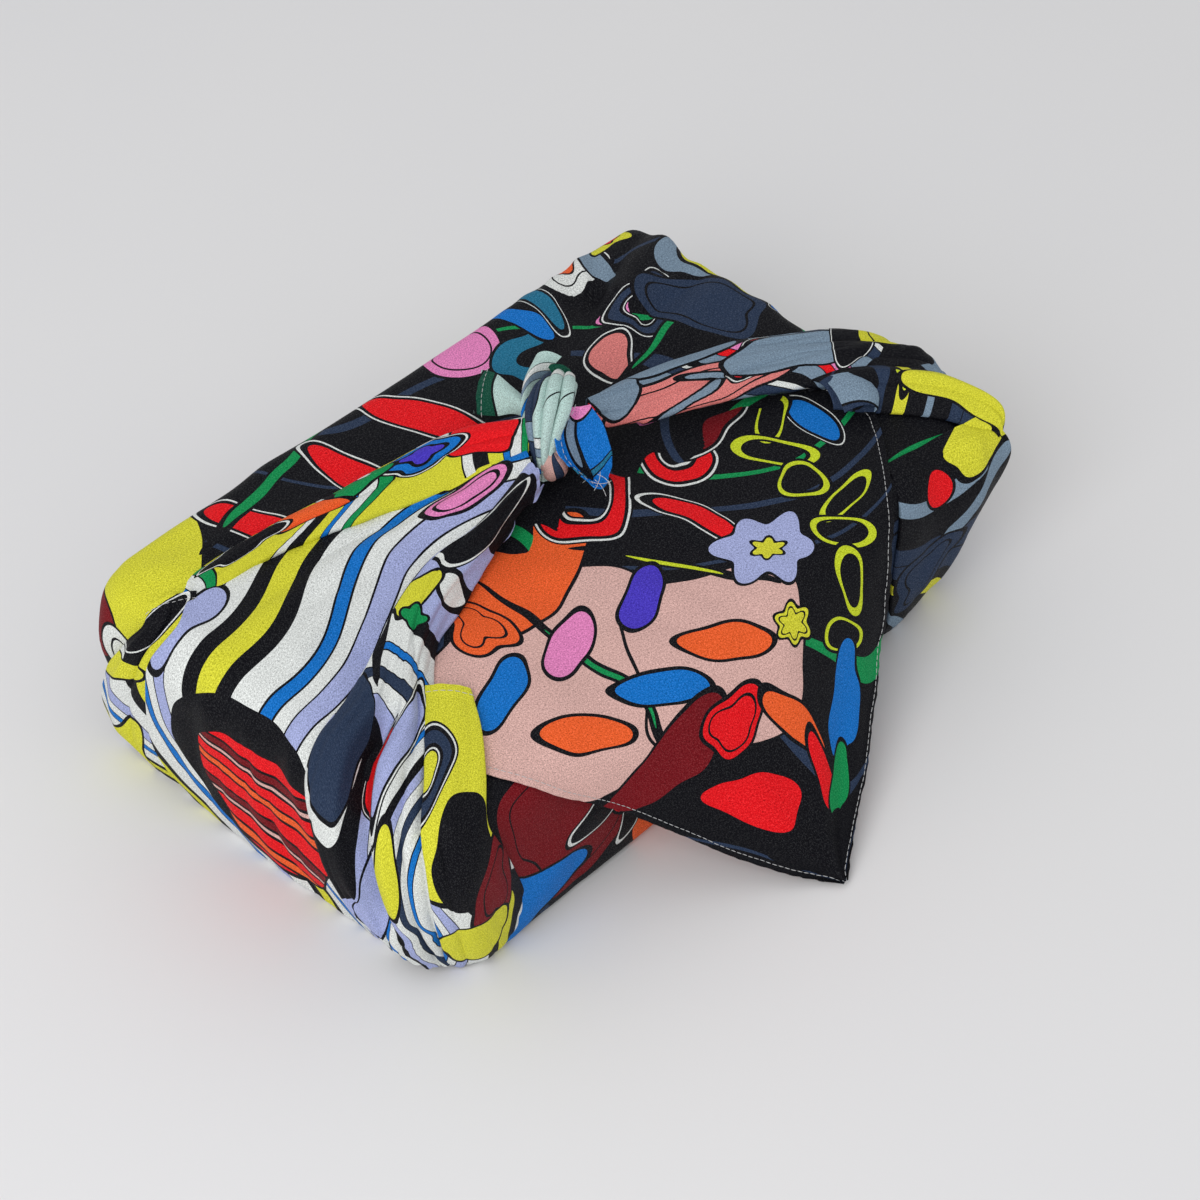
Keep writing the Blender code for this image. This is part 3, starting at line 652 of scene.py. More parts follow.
def stitch_line(grid, edge):
    """Keep the line that a hem's stitches follow."""
    if edge in ("start", "end"):
        grid = grid.transpose(1, 0, 2)
    if edge in ("right", "end"):
        grid = grid[:, ::-1]
    line = []
    reach = HEM_WIDTH * STITCH_PLACE
    for distance, points, normal in zip(lengths(grid, 1), grid, grid_normals(grid)):
        place = np.array([np.interp(reach, distance, points[:, axis]) for axis in range(3)])
        if distance[-1] > 2.2 * HEM_WIDTH and place[2] > 2.0:
            line.append(place + normal[0] * STITCH_PROUD)
    STITCH_LINES.append(np.array(line))


def cloth_run(name, sections, folds, across, along, material, rolls=(), hems=(), gather=1.0,
              stitched=None, uneven=0.3, place=None, wrinkles=None, square_on=False):
    """One folded length of the cloth as a thin sheet."""
    grid = run_grid(sections, across, along)
    s, t = np.meshgrid(np.linspace(0, 1, across + 1), np.linspace(0, 1, along + 1))
    heights = fold_heights(folds, s, t) + hem_heights(grid, hems) + uneven * noise_at(grid / RUN_UNEVEN_SIZE)
    if wrinkles:
        heights += drawn_wrinkles(grid, *wrinkles)
    grid = grid + grid_normals(grid) * heights[..., None]
    for edge in (hems if stitched is None else stitched):
        stitch_line(grid, edge)
    flat = place(grid) if place else cloth_place(grid, gather)
    for side, radius, tuck in rolls:
        wide = grid.shape[1]
        grid = rolled_edge(grid, side, radius, tuck, square_on)
        extra = grid.shape[1] - wide
        at_left = side == "left"
        flat = np.pad(flat, [(0, 0), (extra, 0) if at_left else (0, extra), (0, 0)], mode="edge")
        spread = lengths(grid, 1) * gather * MM
        edge = extra if at_left else wide - 1
        columns = slice(0, extra) if at_left else slice(wide, None)
        flat[:, columns, 0] += (spread - spread[:, [edge]])[:, columns]
    grid[..., 2] = np.maximum(grid[..., 2], LIFT)
    obj = new_piece(name, grid, grid_faces(*grid.shape[:2]), flat, material)
    if (crossings(grid) * from_core(grid)).sum() < 0:
        obj.data.flip_normals()
    obj.data.update()
    return thin_cloth(obj)


def flap_place(grid):
    """The flap continues the top: its print runs on from the parcel's."""
    down = PARCEL_WIDTH / 2 - grid[0, :, 1][None, :] + lengths(grid, 0)
    return np.stack([grid[..., 0], down], -1) * MM


def band_frame(t):
    """Middle line of the knot's band, its directions across and up, half width and thickness."""
    rows = spline_rows(KNOT_BAND, t)
    centre = rows[:, 0:3]
    tangent = unit(np.gradient(centre, axis=0))
    wide = np.array(KNOT_BAND_ACROSS)
    wide = unit(wide - tangent * (tangent @ wide)[:, None])
    return centre, wide, np.cross(wide, tangent), rows[:, 3:4], rows[:, 4:5]


def rings_round(centre, wide, up, half, thick, around, sink=0.0):
    """Flattened rings of points round a middle line."""
    angle = np.linspace(0, 2 * math.pi, around, endpoint=False)
    side = half * np.cos(angle)
    lift = thick * np.sin(angle) - sink
    return centre[:, None] + wide[:, None] * side[..., None] + up[:, None] * lift[..., None]


def knot_band(material):
    """The gathered band over the crossing, under its outer layers."""
    steps, around = 60, 48
    centre, wide, up, half, thick = band_frame(np.linspace(0, 1, steps + 1))
    grid = rings_round(centre, wide, up, half - 1.0, thick - 1.2, around, sink=0.8)
    angle = np.linspace(0, 2 * math.pi, around, endpoint=False)[None, :]
    flat = np.stack(np.broadcast_arrays(angle * 6.0, np.linspace(0, 60, steps + 1)[:, None]), -1)
    faces = closed_faces(steps + 1, around)
    return wound_outwards(new_piece("knot_band", grid, faces, flat * MM * 1.6, material))


def both(radius, tuck):
    """A roll along each side of a run."""
    return [("left", radius, tuck), ("right", radius, tuck)]


def knot_pleat(name, material, places, share, proud):
    """One layer of the knot's band: a soft rolled pleat along it."""
    t = np.linspace(0.03, 0.94, 9)
    centre, wide, up, half, thick = band_frame(t)
    across = np.interp(t, (0, 0.5, 1), places)[:, None]
    gather = 0.55 + 0.45 * np.sin(np.pi * np.clip(t * 1.05, 0, 1))[:, None]
    middle = centre + wide * across * half
    reach = wide * half * share * gather
    crown = np.sqrt(np.maximum(0.1, 1 - across**2)) * thick + proud * gather
    edge = up * (crown - 0.9 * share * half * gather)
    sections = np.hstack([middle - reach + edge, middle + up * crown, middle + reach + edge])
    return cloth_run(name, sections, {}, 26, 90, material, gather=1.8, uneven=0.25,
                     rolls=both(0.5, 1.4), square_on=True)


def wound_outwards(obj):
    """A closed piece with its faces outwards."""
    work = bmesh.new()
    work.from_mesh(obj.data)
    bmesh.ops.recalc_face_normals(work, faces=work.faces)
    work.to_mesh(obj.data)
    work.free()
    return finished(obj)


def knot_lump(name, centre, radii, material):
    """Cloth bunched under the band: a rounded bundle with creases turning round it."""
    rows, around = 30, 48
    lift = np.linspace(-math.pi / 2 + 0.02, math.pi / 2 - 0.02, rows)[:, None]
    turn = np.linspace(0, 2 * math.pi, around, endpoint=False)[None, :]
    crease = 0.05 * np.cos(4 * turn + 2.2 * lift) - 0.05 * np.exp(-((np.sin(turn - 1.4 * lift) / 0.12) ** 2))
    size = 1 + crease
    shape = [np.cos(lift) * np.cos(turn) * size, np.cos(lift) * np.sin(turn) * size, np.sin(lift) * size]
    grid = np.array(centre, float) + np.stack(np.broadcast_arrays(*shape), -1) * np.array(radii)
    flat = np.stack(np.broadcast_arrays(turn * radii[0], lift * radii[2]), -1) * MM * 1.5
    return wound_outwards(new_piece(name, grid, closed_faces(rows, around), flat, material))


def stitching_nodes(material):
    """Geometry nodes: one short thread at even steps along each line of the mesh."""
    tree = bpy.data.node_groups.new("hem stitching", "GeometryNodeTree")
    socket = tree.interface.new_socket
    socket("Geometry", in_out="INPUT", socket_type="NodeSocketGeometry")
    names = {name: socket(name, in_out="INPUT", socket_type="NodeSocketFloat").identifier
             for name in ("Pitch", "Length", "Width")}
    socket("Geometry", in_out="OUTPUT", socket_type="NodeSocketGeometry")
    given, result, curve, points, ball, size, place, real, smooth, finish = (
        tree.nodes.new(kind) for kind in (
            "NodeGroupInput", "NodeGroupOutput", "GeometryNodeMeshToCurve", "GeometryNodeCurveToPoints",
            "GeometryNodeMeshUVSphere", "ShaderNodeCombineXYZ", "GeometryNodeInstanceOnPoints",
            "GeometryNodeRealizeInstances", "GeometryNodeSetShadeSmooth", "GeometryNodeSetMaterial"))
    points.mode = "LENGTH"
    for label, value in (("Segments", 6), ("Rings", 5), ("Radius", 0.5)):
        ball.inputs[label].default_value = value
    finish.inputs["Material"].default_value = material
    for first, output, second, entry in (
            (given, "Geometry", curve, "Mesh"), (curve, "Curve", points, "Curve"),
            (given, "Pitch", points, "Length"), (points, "Points", place, "Points"),
            (points, "Rotation", place, "Rotation"), (ball, "Mesh", place, "Instance"),
            (given, "Width", size, "X"), (given, "Width", size, "Y"), (given, "Length", size, "Z"),
            (size, "Vector", place, "Scale"), (place, "Instances", real, "Geometry"),
            (real, "Geometry", smooth, "Geometry"), (smooth, "Geometry", finish, "Geometry"),
            (finish, "Geometry", result, "Geometry")):
        tree.links.new(first.outputs[output], second.inputs[entry])
    return tree, names


def loose_threads(material):
    """Thread ends left uncut at the tip of the knot's front end."""
    points, faces, around = [], [], 5
    radius = np.array([[STITCH_WIDTH * 0.4]])
    for start, middle, end in LOOSE_THREADS:
        t = np.linspace(0, 1, 9)[:, None]
        line = np.array(start) * (1 - t) ** 2 + 2 * np.array(middle) * t * (1 - t) + np.array(end) * t**2
        tangent = unit(np.gradient(line, axis=0))
        side = unit(np.cross(tangent, (0.3, 0.2, 1.0)))
        tube = rings_round(line, side, np.cross(side, tangent), radius, radius, around)
        first = len(points)
        points += tube.reshape(-1, 3).tolist()
        faces += [[first + corner for corner in face] for face in closed_faces(len(line), around)]
    points = np.array(points)
    return wound_outwards(new_piece("loose_thread_ends", points, faces, points[:, :2] * MM, material))


def hem_stitches(material):
    """All the hems' stitches, along the lines kept while the runs were made."""
    points, edges = [], []
    for line in STITCH_LINES:
        first = len(points)
        points += line.tolist()
        edges += [(first + k, first + k + 1) for k in range(len(line) - 1)]
    mesh = bpy.data.meshes.new("hem_stitches")
    mesh.from_pydata((np.array(points) * MM).tolist(), edges, [])
    mesh.materials.append(material)
    obj = placed("hem_stitches", mesh)
    sewn = obj.modifiers.new("stitches", "NODES")
    sewn.node_group, names = stitching_nodes(material)
    for name, value in (("Pitch", STITCH_PITCH), ("Length", STITCH_LENGTH), ("Width", STITCH_WIDTH)):
        sewn[names[name]] = value * MM
    return finished(obj, sharp_angle=180)


# ---- Materials ----
def put(tree, socket, value):
    """Link a socket, or set it where the value is a plain number, vector or colour."""
    if isinstance(value, bpy.types.NodeSocket):
        tree.links.new(value, socket)
    else:
        socket.default_value = value


def add_node(tree, kind, **values):
    """A new node with its inputs linked or set. An underscore in a name stands for a space."""
    node = tree.nodes.new(kind)
    for label, value in values.items():
        put(tree, node.inputs[label.replace("_", " ")], value)
    return node


def calc(tree, operation, *values):
    node = tree.nodes.new("ShaderNodeMath")
    node.operation = operation
    for number, value in enumerate(values):
        put(tree, node.inputs[number], value)
    return node.outputs[0]


def vector_calc(tree, operation, *values):
    node = tree.nodes.new("ShaderNodeVectorMath")
    node.operation = operation
    for number, value in enumerate(values):
        put(tree, node.inputs[number], value)
    return node.outputs["Value"] if operation == "LENGTH" else node.outputs["Vector"]


def mixed(tree, share, first, second):
    node = tree.nodes.new("ShaderNodeMix")
    node.data_type = "RGBA"
    put(tree, node.inputs["Factor"], share)
    put(tree, node.inputs[6], first)
    put(tree, node.inputs[7], second)
    return node.outputs[2]


def turned(tree, vector, angle):
    node = add_node(tree, "ShaderNodeVectorRotate", Vector=vector, Angle=angle)
    node.rotation_type = "Z_AXIS"
    return node.outputs["Vector"]


def flat_noise(tree, **values):
    node = add_node(tree, "ShaderNodeTexNoise", **values)
    node.noise_dimensions = "2D"
    return node.outputs


def new_group(name, inputs, outputs):
    """An empty shader node group with its inputs and outputs."""
    tree = bpy.data.node_groups.new(name, "ShaderNodeTree")
    for label, value in inputs.items():
        kind = {float: "Float", tuple: "Vector", list: "Color"}[type(value)]
        socket = tree.interface.new_socket(label, in_out="INPUT", socket_type="NodeSocket" + kind)
        socket.default_value = value
    for label, kind in outputs.items():
        tree.interface.new_socket(label, in_out="OUTPUT", socket_type="NodeSocket" + kind)
    return tree, tree.nodes.new("NodeGroupInput").outputs, tree.nodes.new("NodeGroupOutput").inputs


def flowing_bands_group():
    """Bands that flow over the cloth: how far across its set of bands each point lies."""
    tree, given, result = new_group(
        "flowing bands",
        {"Place": (0, 0, 0), "Angle": 0.0, "Repeat": 0.1, "Swirl": 1.0, "Swirl Size": 8.0, "Offset": 0.0},
        {"Band": "Float"})
    shifted = add_node(tree, "ShaderNodeCombineXYZ", X=given["Offset"], Y=given["Offset"])
    place = vector_calc(tree, "ADD", given["Place"], shifted.outputs["Vector"])
    swirl = flat_noise(tree, Vector=place, Scale=given["Swirl Size"], Detail=0.0)
    parts = add_node(tree, "ShaderNodeSeparateXYZ", Vector=turned(tree, given["Place"], given["Angle"]))
    way = calc(tree, "DIVIDE", parts.outputs["X"], given["Repeat"])
    swing = calc(tree, "MULTIPLY", calc(tree, "SUBTRACT", swirl["Fac"], 0.5), given["Swirl"])
    field = calc(tree, "ADD", calc(tree, "ADD", way, swing), given["Offset"])
    put(tree, result["Band"], calc(tree, "FRACT", field))
    return tree


def motif_group():
    """One outlined motif: a disc, ring, flower or leaf in flat colour, over the ground."""
    tree, given, result = new_group(
        "outlined motif",
        {"Place": (0, 0, 0), "Centre": (0, 0, 0), "Turn": 0.0, "Stretch": (1, 1, 1), "Radius": 0.02,
         "Lobes": 0.0, "Depth": 0.0, "Hole": -1.0, "Line": INK_LINE * MM, "Inner Line": 1.0,
         "Halo": 0.0, "Ground": list(INK), "Fill": list(RED), "Halo Colour": list(WHITE), "Ink": list(INK)},
        {"Color": "Color"})
    moved = vector_calc(tree, "SUBTRACT", given["Place"], given["Centre"])
    shape = vector_calc(tree, "MULTIPLY", turned(tree, moved, given["Turn"]), given["Stretch"])
    parts = add_node(tree, "ShaderNodeSeparateXYZ", Vector=shape).outputs
    away = vector_calc(tree, "LENGTH", shape)
    angle = calc(tree, "ARCTAN2", parts["Y"], parts["X"])
    wave = calc(tree, "COSINE", calc(tree, "MULTIPLY", angle, given["Lobes"]))
    rim = calc(tree, "MULTIPLY", given["Radius"], calc(tree, "MULTIPLY_ADD", wave, given["Depth"], 1.0))
    outer = calc(tree, "SUBTRACT", away, rim)
    inner = calc(tree, "SUBTRACT", calc(tree, "MULTIPLY", given["Hole"], rim), away)
    distance = calc(tree, "MAXIMUM", outer, inner)
    inside = calc(tree, "ABSOLUTE", calc(tree, "ADD", distance, given["Inner Line"]))
    colour = given["Ground"]
    for measure, limit, paint in (
            (distance, calc(tree, "ADD", given["Halo"], given["Line"]), given["Ink"]),
            (distance, given["Halo"], given["Halo Colour"]),
            (distance, given["Line"], given["Ink"]),
            (distance, calc(tree, "MULTIPLY", given["Line"], -1.0), given["Fill"]),
            (inside, INNER_LINE * MM, given["Ink"])):
        colour = mixed(tree, calc(tree, "LESS_THAN", measure, limit), colour, paint)
    put(tree, result["Color"], colour)
    return tree


def crepe_group():
    """The crepe's grain: short crimped threads, with painted glints where they catch the light and painted
    shade in the hollows between them.
    """
    tree, given, result = new_group(
        "crepe grain", {"Place": (0, 0, 0)}, {"Height": "Float", "Glint": "Float", "Tint": "Float"})
    crimps = []
    for angle, stretch in ((0.5, (1.0, 0.38, 1.0)), (-0.7, (1.0, 0.45, 1.0))):
        place = vector_calc(tree, "MULTIPLY", turned(tree, given["Place"], angle), stretch)
        crimp = flat_noise(tree, Vector=place, Scale=1 / (GRAIN * MM), Detail=1.5, Roughness=0.6)
        crimps.append(crimp["Fac"])
    height = calc(tree, "MAXIMUM", *crimps)
    glint = add_node(tree, "ShaderNodeMapRange", Value=height, From_Min=0.59, From_Max=0.74)
    put(tree, result["Height"], height)
    put(tree, result["Glint"], glint.outputs["Result"])
    # Grain tone with painted highlight and shade: the raised threads are lighter, the hollows darker.
    put(tree, result["Tint"], calc(tree, "MULTIPLY_ADD", height, 2.2, -0.22))
    return tree


GROUPS = {"bands": flowing_bands_group(), "motif": motif_group(), "grain": crepe_group()}


def grouped(tree, group, **values):
    node = tree.nodes.new("ShaderNodeGroup")
    node.node_tree = GROUPS[group]
    for label, value in values.items():
        put(tree, node.inputs[label.replace("_", " ")], value)
    return node.outputs


def band_colours(tree, bands, band, line):
    """A ramp of flat colours with an ink line between each and the next."""
    ramp = tree.nodes.new("ShaderNodeValToRGB")
    ramp.color_ramp.interpolation = "CONSTANT"
    stops = ramp.color_ramp.elements
    total = sum(width for _, width in bands)
    place = 0.0
    for number, (colour, width) in enumerate(bands):
        stop = stops[0] if number == 0 else stops.new(place)
        stop.position = place
        stop.color = colour
        place += width / total
        ink = stops[1] if number == 0 else stops.new(place - line)
        ink.position = place - line
        ink.color = INK
    put(tree, ramp.inputs["Fac"], band)
    return ramp.outputs["Color"]


def new_material(name, roughness):
    material = bpy.data.materials.new(name)
    material.use_nodes = True
    shader = material.node_tree.nodes["Principled BSDF"]
    shader.inputs["Roughness"].default_value = roughness
    return material, material.node_tree, shader.inputs


PLAIN = (0, -1, 1000)        # no halo, no hole, and the second line out of the way


def printed_crepe(name, bands, flow, motifs=(), stripes=None):
    """Printed crepe: flowing bands, motifs over them, then the crepe's own grain, with painted glints and
    painted shade on its threads.
    """
    material, tree, shader = new_material(name, 0.6)
    flat = tree.nodes.new("ShaderNodeUVMap")
    flat.uv_map = "cloth"
    flat = flat.outputs["UV"]
    wobble = flat_noise(tree, Vector=flat, Scale=45.0, Detail=0.0)
    drawn = vector_calc(tree, "MULTIPLY_ADD", wobble["Color"], (HAND_WOBBLE * MM, HAND_WOBBLE * MM, 0), flat)

    def painted(lines, angle, repeat, swirl, swirl_size, offset, ink=BAND_INK):
        band = grouped(tree, "bands", Place=flat, Angle=math.radians(angle), Repeat=repeat * MM,
                       Swirl=swirl, Swirl_Size=swirl_size, Offset=offset)["Band"]
        return band_colours(tree, lines, band, ink)

    colour = painted(bands, *flow)
    striped = painted(*stripes) if stripes else None
    for x, y, radius, lobes, depth, turn, stretch, fill, *rest in motifs:
        halo, hole, inner = (*rest, *PLAIN[len(rest):])
        colour = grouped(
            tree, "motif", Place=drawn, Centre=(x * MM, y * MM, 0), Turn=math.radians(turn),
            Stretch=(stretch, 1, 1), Radius=radius * MM, Lobes=lobes, Depth=depth, Hole=hole,
            Halo=halo * MM, Ground=colour, Fill=striped if fill == "striped" else fill,
            Inner_Line=inner * MM)["Color"]
    crimp = grouped(tree, "grain", Place=flat)
    # The colour scaled by the grain's tone, with its painted highlight and shade.
    tone_and_painted_light = tree.nodes.new("ShaderNodeVectorMath")
    tone_and_painted_light.operation = "SCALE"
    put(tree, tone_and_painted_light.inputs[0], colour)
    put(tree, tone_and_painted_light.inputs["Scale"], crimp["Tint"])
    # Painted glints: the raised threads' colour is mixed towards white.
    pale = mixed(tree, calc(tree, "MULTIPLY", crimp["Glint"], PAINTED_GLINT_SHARE), tone_and_painted_light.outputs["Vector"], WHITE)
    bump = add_node(tree, "ShaderNodeBump", Strength=0.8, Distance=GRAIN_HEIGHT * MM, Height=crimp["Height"])
    put(tree, shader["Base Color"], pale)
    put(tree, shader["Roughness"], calc(tree, "MULTIPLY_ADD", crimp["Glint"], -0.2, 0.6))
    put(tree, shader["Normal"], bump.outputs["Normal"])
    shader["Specular IOR Level"].default_value = 0.08
    return material


def sewing_thread():
    """Pale grey twisted sewing thread, with painted shade in the grooves of its twist."""
    material, tree, shader = new_material("sewing thread", 0.6)
    place = tree.nodes.new("ShaderNodeTexCoord").outputs["Object"]
    twist = add_node(tree, "ShaderNodeTexWave", Vector=place, Scale=900.0, Distortion=1.5).outputs["Fac"]
    # The darker grey along the twist is painted shade in its grooves.
    put(tree, shader["Base Color"], mixed(tree, twist, linear(150, 152, 156), THREAD))
    bump = add_node(tree, "ShaderNodeBump", Distance=THREAD_TWIST_HEIGHT * MM, Height=twist)
    put(tree, shader["Normal"], bump.outputs["Normal"])
    return material


# ---- The print of each piece ----
# motifs, in order: x, y (mm on the cloth), half width (mm), lobes, their depth, turn (degrees),
#     stretch (half width over half length), fill and, where it has them, white halo (mm),
#     hole (share of the size, -1 for none), how far inside its edge a second line runs (mm)
PARCEL_MOTIFS = [
    (-140, 14, 34, 3, 0.12, 20, 0.8, YELLOW), (-152, -24, 20, 2, 0.1, 60, 0.5, DARK_RED),
    (-138, -26, 13, 3, 0.16, 0, 0.8, WHITE), (-84, 36, 8.5, 2, 0.06, 104, 0.3, RED, 1.4),
    (-112, 46, 3, 0, 0, 8, 0.07, GREEN), (-60, 14, 3.2, 0, 0, 16, 0.07, GREEN),
    (-38, 40, 9, 2, 0.06, 98, 0.32, RED, 1.4), (2, 30, 9, 2, 0.08, 108, 0.34, RED, 1.4),
    (-62, 62, 10, 6, 0.2, 0, 1, LAVENDER, 0, -1, 3), (42, 12, 16, 0, 0, 20, 0.85, PINK, 0, -1, 4.5),
    (62, 36, 15, 3, 0.2, 15, 0.7, TEAL), (66, 40, 9, 3, 0.2, 15, 0.7, INK),
    (70, 6, 7, 2, 0.3, 100, 0.3, BLUE), (86, 10, 6, 2, 0.3, 78, 0.3, TEAL, 1),
    (112, 4, 17, 4, 0.12, 40, 0.8, WHITE, 0, -1, 5), (110, 5, 5, 3, 0.16, 30, 0.8, ORANGE),
    (122, 10, 6, 2, 0.2, 70, 0.35, GREY_BLUE), (136, 3, 10, 5, 0.22, 0, 0.9, YELLOW),
    (136, 3, 4, 5, 0.25, 30, 0.9, RED), (101, 44, 6, 3, 0.18, 30, 0.7, PINK),
    (112, 50, 12, 3, 0.2, 20, 0.7, SLATE, 1.1, 0.66), (80, 60, 8, 3, 0.12, 24, 0.6, SALMON, 1.2),
    (107, 66, 1.9, 0, 0, 8, 0.05, GREEN), (130, 66, 17, 3, 0.15, 120, 0.6, SLATE, 0, -1, 4),
    (156, 36, 13, 3, 0.15, 30, 0.5, GREY_BLUE), (164, 84, 11, 6, 0.16, 0, 1, BLUE, 1.2),
    (184, 46, 26, 3, 0.12, 15, 0.6, YELLOW, 0, -1, 6), (200, 96, 9, 0, 0, 0, 1, RED),
    (206, 128, 12, 2, 0.1, 30, 0.3, GREY_BLUE), (214, 62, 14, 3, 0.2, 70, 0.6, SLATE, 1.2),
    (-78, 226, 40, 3, 0.14, 30, 0.8, DARK_RED, 0, -1, 8), (-12, 252, 30, 3, 0.14, 10, 0.6, ORANGE),
    (-40, 232, 22, 3, 0.1, 60, 0.7, RED), (-60, 236, 8, 2, 0.25, 24, 0.36, INK, 1.3),
    (-48, 246, 7, 2, 0.25, 64, 0.36, INK, 1.3), (-40, 228, 7, 2, 0.25, 140, 0.4, INK, 1.3),
    (-50, 222, 7, 2, 0.25, 100, 0.42, INK, 1.3), (34, 240, 24, 3, 0.12, 60, 0.6, RED),
    (64, 262, 18, 4, 0.16, 0, 0.8, SLATE, 1.2), (108, 240, 22, 3, 0.16, 0, 0.6, SLATE),
    (-116, 262, 16, 3, 0.2, 0, 0.5, BLUE), (-186, 30, 20, 3, 0.14, 60, 0.7, WHITE, 0, -1, 5),
    (-204, 56, 20, 3, 0.2, 10, 0.6, YELLOW), (-96, -32, 22, 4, 0.14, 20, 0.7, TEAL, 0, -1, 5),
    (-40, -44, 11, 2, 0.1, 12, 0.36, RED, 1.4), (-10, -18, 8, 2, 0.1, 60, 0.36, GREEN),
    (28, -42, 22, 3, 0.16, 0, 0.7, GREY_BLUE, 1.3), (74, -30, 12, 5, 0.2, 0, 1, PINK, 1.2),
    (108, -48, 24, 5, 0.14, 0, 0.8, YELLOW, 0, -1, 6), (60, -68, 10, 2, 0.1, 20, 0.34, BLUE),
]
FLAP_MOTIFS = [
    (-70, 178, 50, 3, 0.1, 30, 0.78, SKIN), (-8, 206, 38, 4, 0.08, 20, 0.9, SKIN),
    (-36, 122, 24, 3, 0.12, 10, 0.62, ORANGE), (-66, 134, 11, 3, 0.2, 80, 0.6, ORANGE, 0, -1, 4),
    (14, 112, 17, 3, 0.1, 30, 0.7, RED, 1.5, 0.6), (58, 116, 13, 3, 0.12, 60, 0.6, RED, 1.5, 0.56),
    (86, 112, 12, 2, 0.2, 20, 0.5, DARK_RED, 1.3), (109, 146, 6, 2, 0.1, 80, 0.4, BLUE, 1),
    (98, 132, 9, 2, 0.14, 30, 0.62, LIME, 0, 0.7), (84, 146, 10, 2, 0.18, 120, 0.62, LIME, 0, 0.66),
    (78, 166, 10, 3, 0.12, 60, 0.8, LIME, 0, 0.7), (84, 186, 9, 2, 0.2, 10, 0.62, LIME, 0, 0.66),
    (70, 200, 10, 2, 0.14, 120, 0.66, LIME, 0, 0.7), (60, 220, 9, 2, 0.16, 80, 0.64, LIME, 0, 0.66),
    (46, 236, 8, 2, 0.16, 130, 0.64, LIME, 0, 0.68), (34, 152, 6, 2, 0.2, 100, 0.3, RED, 1.2),
    (10, 162, 1.8, 0, 0, -62, 0.06, LIME), (40, 182, 17, 6, 0.16, 12, 0.9, LAVENDER),
    (40, 182, 6, 6, 0.2, 40, 0.9, YELLOW), (-48, 184, 1.6, 0, 0, 90, 0.03, GREEN),
    (-84, 166, 8, 2, 0.1, 30, 0.44, BLUE), (-48, 164, 8, 2, 0.1, 30, 0.44, PINK),
    (-12, 166, 8, 2, 0.1, 30, 0.44, PURPLE), (-74, 202, 8, 2, 0.1, 150, 0.44, ORANGE),
    (-38, 203, 8, 2, 0.1, 150, 0.44, BLUE), (-4, 203, 8, 2, 0.1, 150, 0.44, ORANGE),
    (-50, 234, 13, 2, 0.16, 30, 0.42, DARK_RED), (-20, 230, 12, 3, 0.14, 20, 0.7, RED, 0, -1, 3),
    (6, 246, 7, 2, 0.16, 110, 0.36, ORANGE), (-24, 264, 12, 3, 0.14, 140, 0.6, RED),
    (8, 274, 6, 2, 0.16, 84, 0.34, RED), (24, 214, 8, 6, 0.16, 0, 1, YELLOW, 0, -1, 2.6),
    (34, 262, 12, 3, 0.16, 60, 0.5, BLUE), (14, 286, 8, 3, 0.16, 60, 0.5, GREEN),
    (-12, 300, 12, 3, 0.1, 20, 0.7, INK),
]
PANEL_MOTIFS = [
    (-16, 10, 14, 3, 0.12, 84, 0.4, YELLOW), (2, 32, 7, 2, 0.2, 84, 0.4, PINK, 0, -1, 2.4),
    (-30, 64, 11, 3, 0.2, 84, 0.5, YELLOW), (12, 202, 40, 3, 0.08, 25, 0.86, INK),
    (16, 208, 33, 3, 0.08, 25, 0.86, "striped"), (-36, 150, 8, 2, 0.16, 80, 0.4, LAVENDER),
]
EAR_MOTIFS = [
    (0, 18, 7, 3, 0.16, 60, 0.5, INK, 1.2), (-6, 46, 9, 3, 0.16, 20, 0.6, YELLOW),
    (4, 92, 10, 3, 0.16, 70, 0.6, YELLOW),
]
UPPER_PLEAT_MOTIFS = [
    (4, 22, 15, 4, 0.08, 20, 0.9, RED), (0, 48, 10, 4, 0.14, 84, 0.6, BLUE, 1.2),
    (0, 48, 5, 4, 0.2, 84, 0.5, PURPLE), (-4, 76, 7, 3, 0.2, 84, 0.5, GREEN),
    (2, 98, 8, 3, 0.16, 80, 0.5, ORANGE), (0, 128, 8, 4, 0.2, 84, 0.5, INK, 1.2),
]
ROLL_MOTIFS = [
    (2, 40, 9, 3, 0.16, 80, 0.36, INK, 1.5), (-20, 88, 6, 2, 0.16, 100, 0.18, INK),
    (-4, 84, 8, 3, 0.16, 60, 0.5, YELLOW), (4, 92, 6, 4, 0.2, 20, 0.7, GREEN),
    (-34, 158, 19, 3, 0.1, 74, 0.62, SLATE), (2, 162, 8, 3, 0.14, 80, 0.4, RED, 1),
    (20, 150, 9, 2, 0.1, 84, 0.34, LAVENDER, 1.4), (24, 196, 9, 3, 0.1, 76, 0.5, YELLOW),
    (-8, 214, 12, 3, 0.12, 60, 0.5, LAVENDER),
]
CORNER_MOTIFS = [
    (0, 30, 40, 3, 0.1, 84, 0.5, YELLOW), (-10, 44, 11, 2, 0.14, 70, 0.6, SLATE, 1.2, 0.6),
    (4, 84, 15, 3, 0.14, 80, 0.6, INK), (16, 104, 13, 3, 0.12, 70, 0.5, DARK_RED, 0, -1, 5),
    (0, 130, 14, 3, 0.16, 20, 0.7, YELLOW),
]
